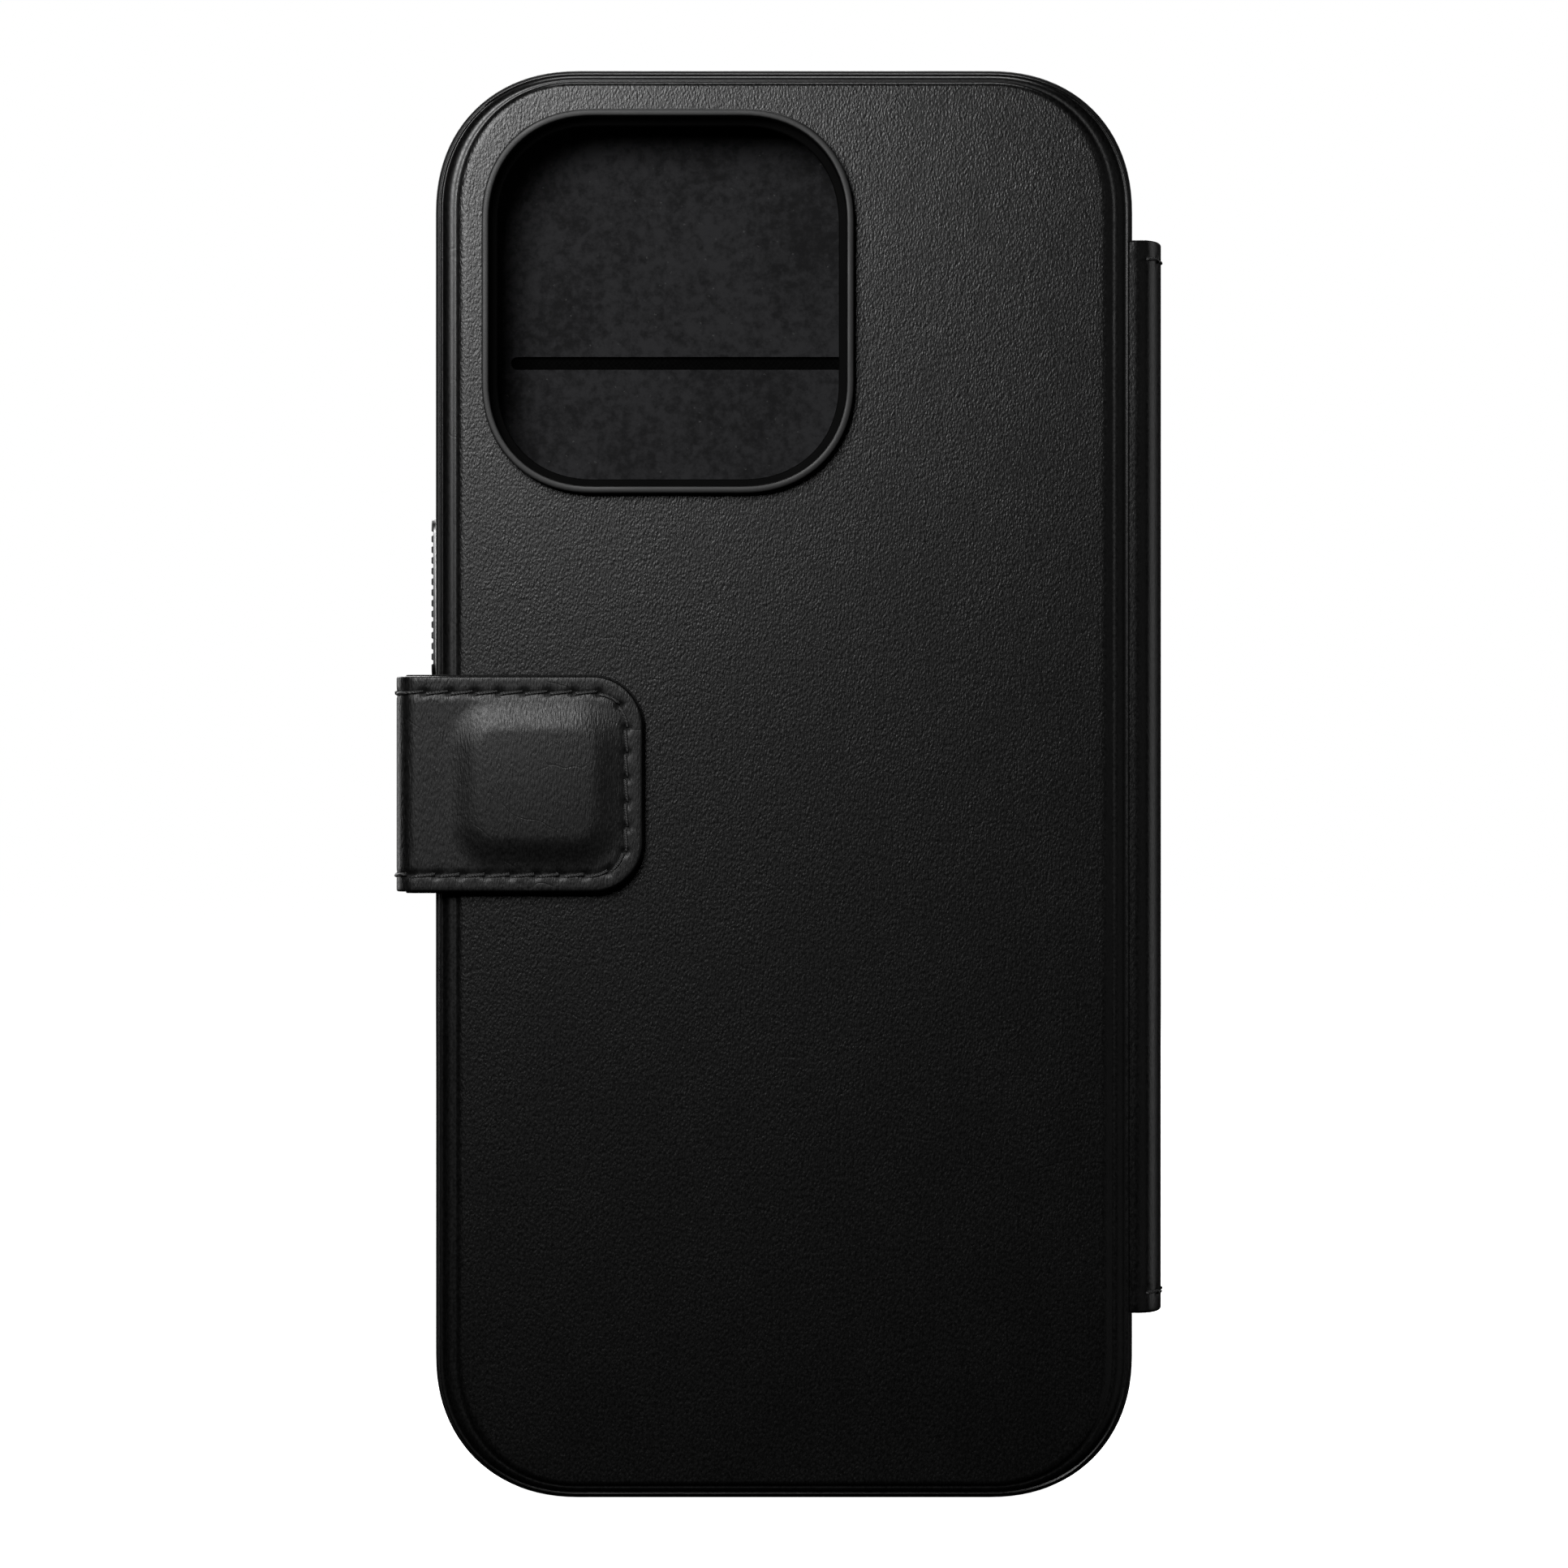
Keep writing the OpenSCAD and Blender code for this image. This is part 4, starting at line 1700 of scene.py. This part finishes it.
    def seams(self, slab: Slab, free: bool) -> list[Seam]:
        """The rows of stitches on one half of the strap.

        Args:
            slab: the leather they are sewn in.
            free: whether the half has the strap's round end.

        Returns:
            One seam round the end, or one along each edge.
        """
        inset = STITCH_INSET
        high, low = self.high - inset, self.low + inset
        if free:
            end = self.route.length - inset
            path = filleted(
                [(self.middle, high), (end, high), (end, low), (self.middle, low)],
                self.corner - inset,
            )
            return [Seam(Route(path), slab.lay, self.leather)]
        return [
            Seam(Route([(slab.start, z), (self.middle, z)][::way]), slab.lay, self.leather)
            for z, way in ((high, 1), (low, -1))
        ]

    def build(self) -> None:
        """Builds both halves, their linings, stitches, and the pad's filling."""
        root = Bend("cover", "strap_side", (-37.6, 12.0), (-40.5, 8.6))
        end = Bend("strap_side", "strap_end", (-40.5, -0.1), (-37.1, -3.5))
        halves = (
            ("front", 0.0, self.middle, False, root,
             ["strap_root", "strap_side_leather"], "strap_side_lining", "strap_side_thread"),
            ("end", self.middle, self.route.length, True, end,
             ["strap_tab_leather"], "strap_tab_lining", "strap_tab_thread"),
        )
        for name, start, stop, free, bend, skins, cloth, sewn in halves:
            seams = self.seams(self.slab(start, stop, free, True), free)
            holes = [hole for seam in seams for hole in seam.holes()]
            skin = self.slab(start, stop, free, True, holes)
            made = self.shop.piece(f"strap_skin_{name}", skin.mesh(), Look.STRAP, bend, skins)
            under = self.slab(start, stop, free, False)
            self.shop.piece(f"strap_cloth_{name}", under.mesh(), Look.CLOTH, bend, [cloth])
            thread = bmesh.new()
            for seam in seams:
                seam.sew(thread)
            self.shop.piece(f"strap_stitches_{name}", thread, Look.THREAD, bend, [sewn])
        self.filling()
        self.shop.dress(Look.PLATED, "strap_magnet")

    def filling(self) -> None:
        """The foam under the pad's leather, low at its edge, with the magnet's pocket."""
        box, magnet = Box.of("strap_padding"), Box.of("strap_magnet")
        size = (box.size.x - 2 * self.foam_inset, box.size.z - 2 * self.foam_inset)
        block = SoftRect((box.middle.x, box.middle.z), size, self.foam_corner, corner_steps=8)
        bm = bmesh.new()
        steps = ((0.0, 0.0), (0.0, 0.12), (0.3, 0.25), (0.9, 0.5), (1.5, 0.78), (2.3, 1.05))
        capped(bm, [block.ring(inset, box.hi.y - rise) for inset, rise in steps])
        pocket = bmesh.new()
        corners = ((1, 1), (-1, 1), (-1, -1), (1, -1))
        half = magnet.size / 2 + Vector((self.magnet_gap, 0.0, self.magnet_gap))
        capped(
            pocket,
            [
                [Vector((magnet.middle.x + half.x * x, y, magnet.middle.z + half.z * z))
                 for x, z in corners]
                for y in (magnet.lo.y - self.magnet_gap, magnet.hi.y + 0.5)
            ],
        )
        made = self.shop.piece(
            "strap_foam", bm, Look.FOAM, "strap_end", ["strap_padding"], cut=pocket
        )


@dataclass(frozen=True)
class Lamp:
    """A soft square light, with its places and side in metres and its power in watts."""

    name: str
    place: tuple[float, float, float]
    aim: tuple[float, float, float]
    size: float
    power: float

    def hang(self) -> None:
        """Adds the light to the scene, out of the camera's sight."""
        data = bpy.data.lights.new(self.name, "AREA")
        data.shape, data.size, data.energy = "SQUARE", self.size, self.power
        lamp = bpy.data.objects.new(self.name, data)
        bpy.context.scene.collection.objects.link(lamp)
        lamp.visible_camera = False
        lamp.location = self.place
        way = Vector(self.aim) - Vector(self.place)
        lamp.rotation_euler = way.to_track_quat("-Z", "Y").to_euler()


@dataclass
class Studio:
    """Pale floor, soft lights and the camera, in metres but for the floor, in millimetres."""

    distance: float = 0.8
    across: float = 0.168
    sensor: float = 36.0
    floor_half: float = 30000.0
    floor_drop: float = 0.05
    lamps: tuple[Lamp, ...] = (
        Lamp("key", (-0.082, -0.3, 0.2), (-0.01, 0.0, 0.09), 0.1, 0.37),
        Lamp("near_key", (-0.075, -0.16, 0.19), (-0.01, 0.0, 0.09), 0.06, 0.09),
        Lamp("front_fill", (0.75, -0.65, 0.06), (0.0, 0.0, 0.1), 0.9, 0.3),
        Lamp("far_key", (-0.25, 1.0, 0.9), (0.0, 0.0, 0.08), 1.0, 20.0),
        Lamp("right_side", (0.95, 0.45, 0.3), (0.0, 0.0, 0.08), 0.8, 0.9),
        Lamp("left_side", (-0.9, 0.6, 0.3), (0.0, 0.0, 0.08), 0.7, 3.0),
        Lamp("above", (0.0, 0.3, 1.3), (0.0, 0.0, 0.1), 0.6, 5.0),
    )

    def floor(self) -> None:
        """A wide plain pale floor, and a pale world behind it."""
        bm = bmesh.new()
        bmesh.ops.create_grid(bm, x_segments=1, y_segments=1, size=self.floor_half)
        bmesh.ops.translate(bm, vec=(0, 0, -self.floor_drop), verts=bm.verts[:])
        floor = as_object("floor", bm)
        g = Graph("floor_finish")
        slow = g.noise(g.coords((300.0, 300.0, 300.0)), 2.0)
        g.shade(
            Base_Color=g.mix(slow, grey(0.9), grey(0.92)),
            Roughness=0.9,
            Emission_Color=grey(1.0),
            Emission_Strength=1.0,
        )
        floor.data.materials.append(g.material)
        floor.visible_diffuse = floor.visible_glossy = False
        world = bpy.data.worlds.new("pale_world")
        world.use_nodes = True
        backdrop = world.node_tree.nodes["Background"]
        backdrop.inputs["Color"].default_value = grey(1.0)
        backdrop.inputs["Strength"].default_value = 1.0
        world.cycles_visibility.diffuse = False
        world.cycles_visibility.glossy = False
        bpy.context.scene.world = world

    def camera(self) -> None:
        """A camera that faces the leather back squarely from its middle height."""
        data = bpy.data.cameras.new("camera")
        cam = bpy.data.objects.new("camera", data)
        bpy.context.scene.collection.objects.link(cam)
        middle = Box.of("bumper_rim").middle.z * MM
        cam.location = (0.0, -self.distance, middle)
        cam.rotation_euler = (math.pi / 2, 0.0, 0.0)
        data.sensor_width = self.sensor
        data.lens = self.sensor * self.distance / self.across
        data.clip_start, data.clip_end = 0.05, 100.0
        bpy.context.scene.camera = cam

    def build(self) -> None:
        """Sets up the floor, the lights, the camera and a plain tone."""
        self.floor()
        self.camera()
        for lamp in self.lamps:
            lamp.hang()
        bpy.context.scene.view_settings.view_transform = "Standard"


def main() -> None:
    """Builds the case piece by piece, then the studio."""
    logging.basicConfig(level=logging.INFO, format="%(message)s")
    shop = Workshop()
    buttons = Buttons(shop)
    Shell(shop).build(buttons.pockets())
    buttons.build()
    Spine(shop).build()
    Cover(shop).build()
    Strap(shop).build()
    Studio().build()


if __name__ == "__main__":
    main()
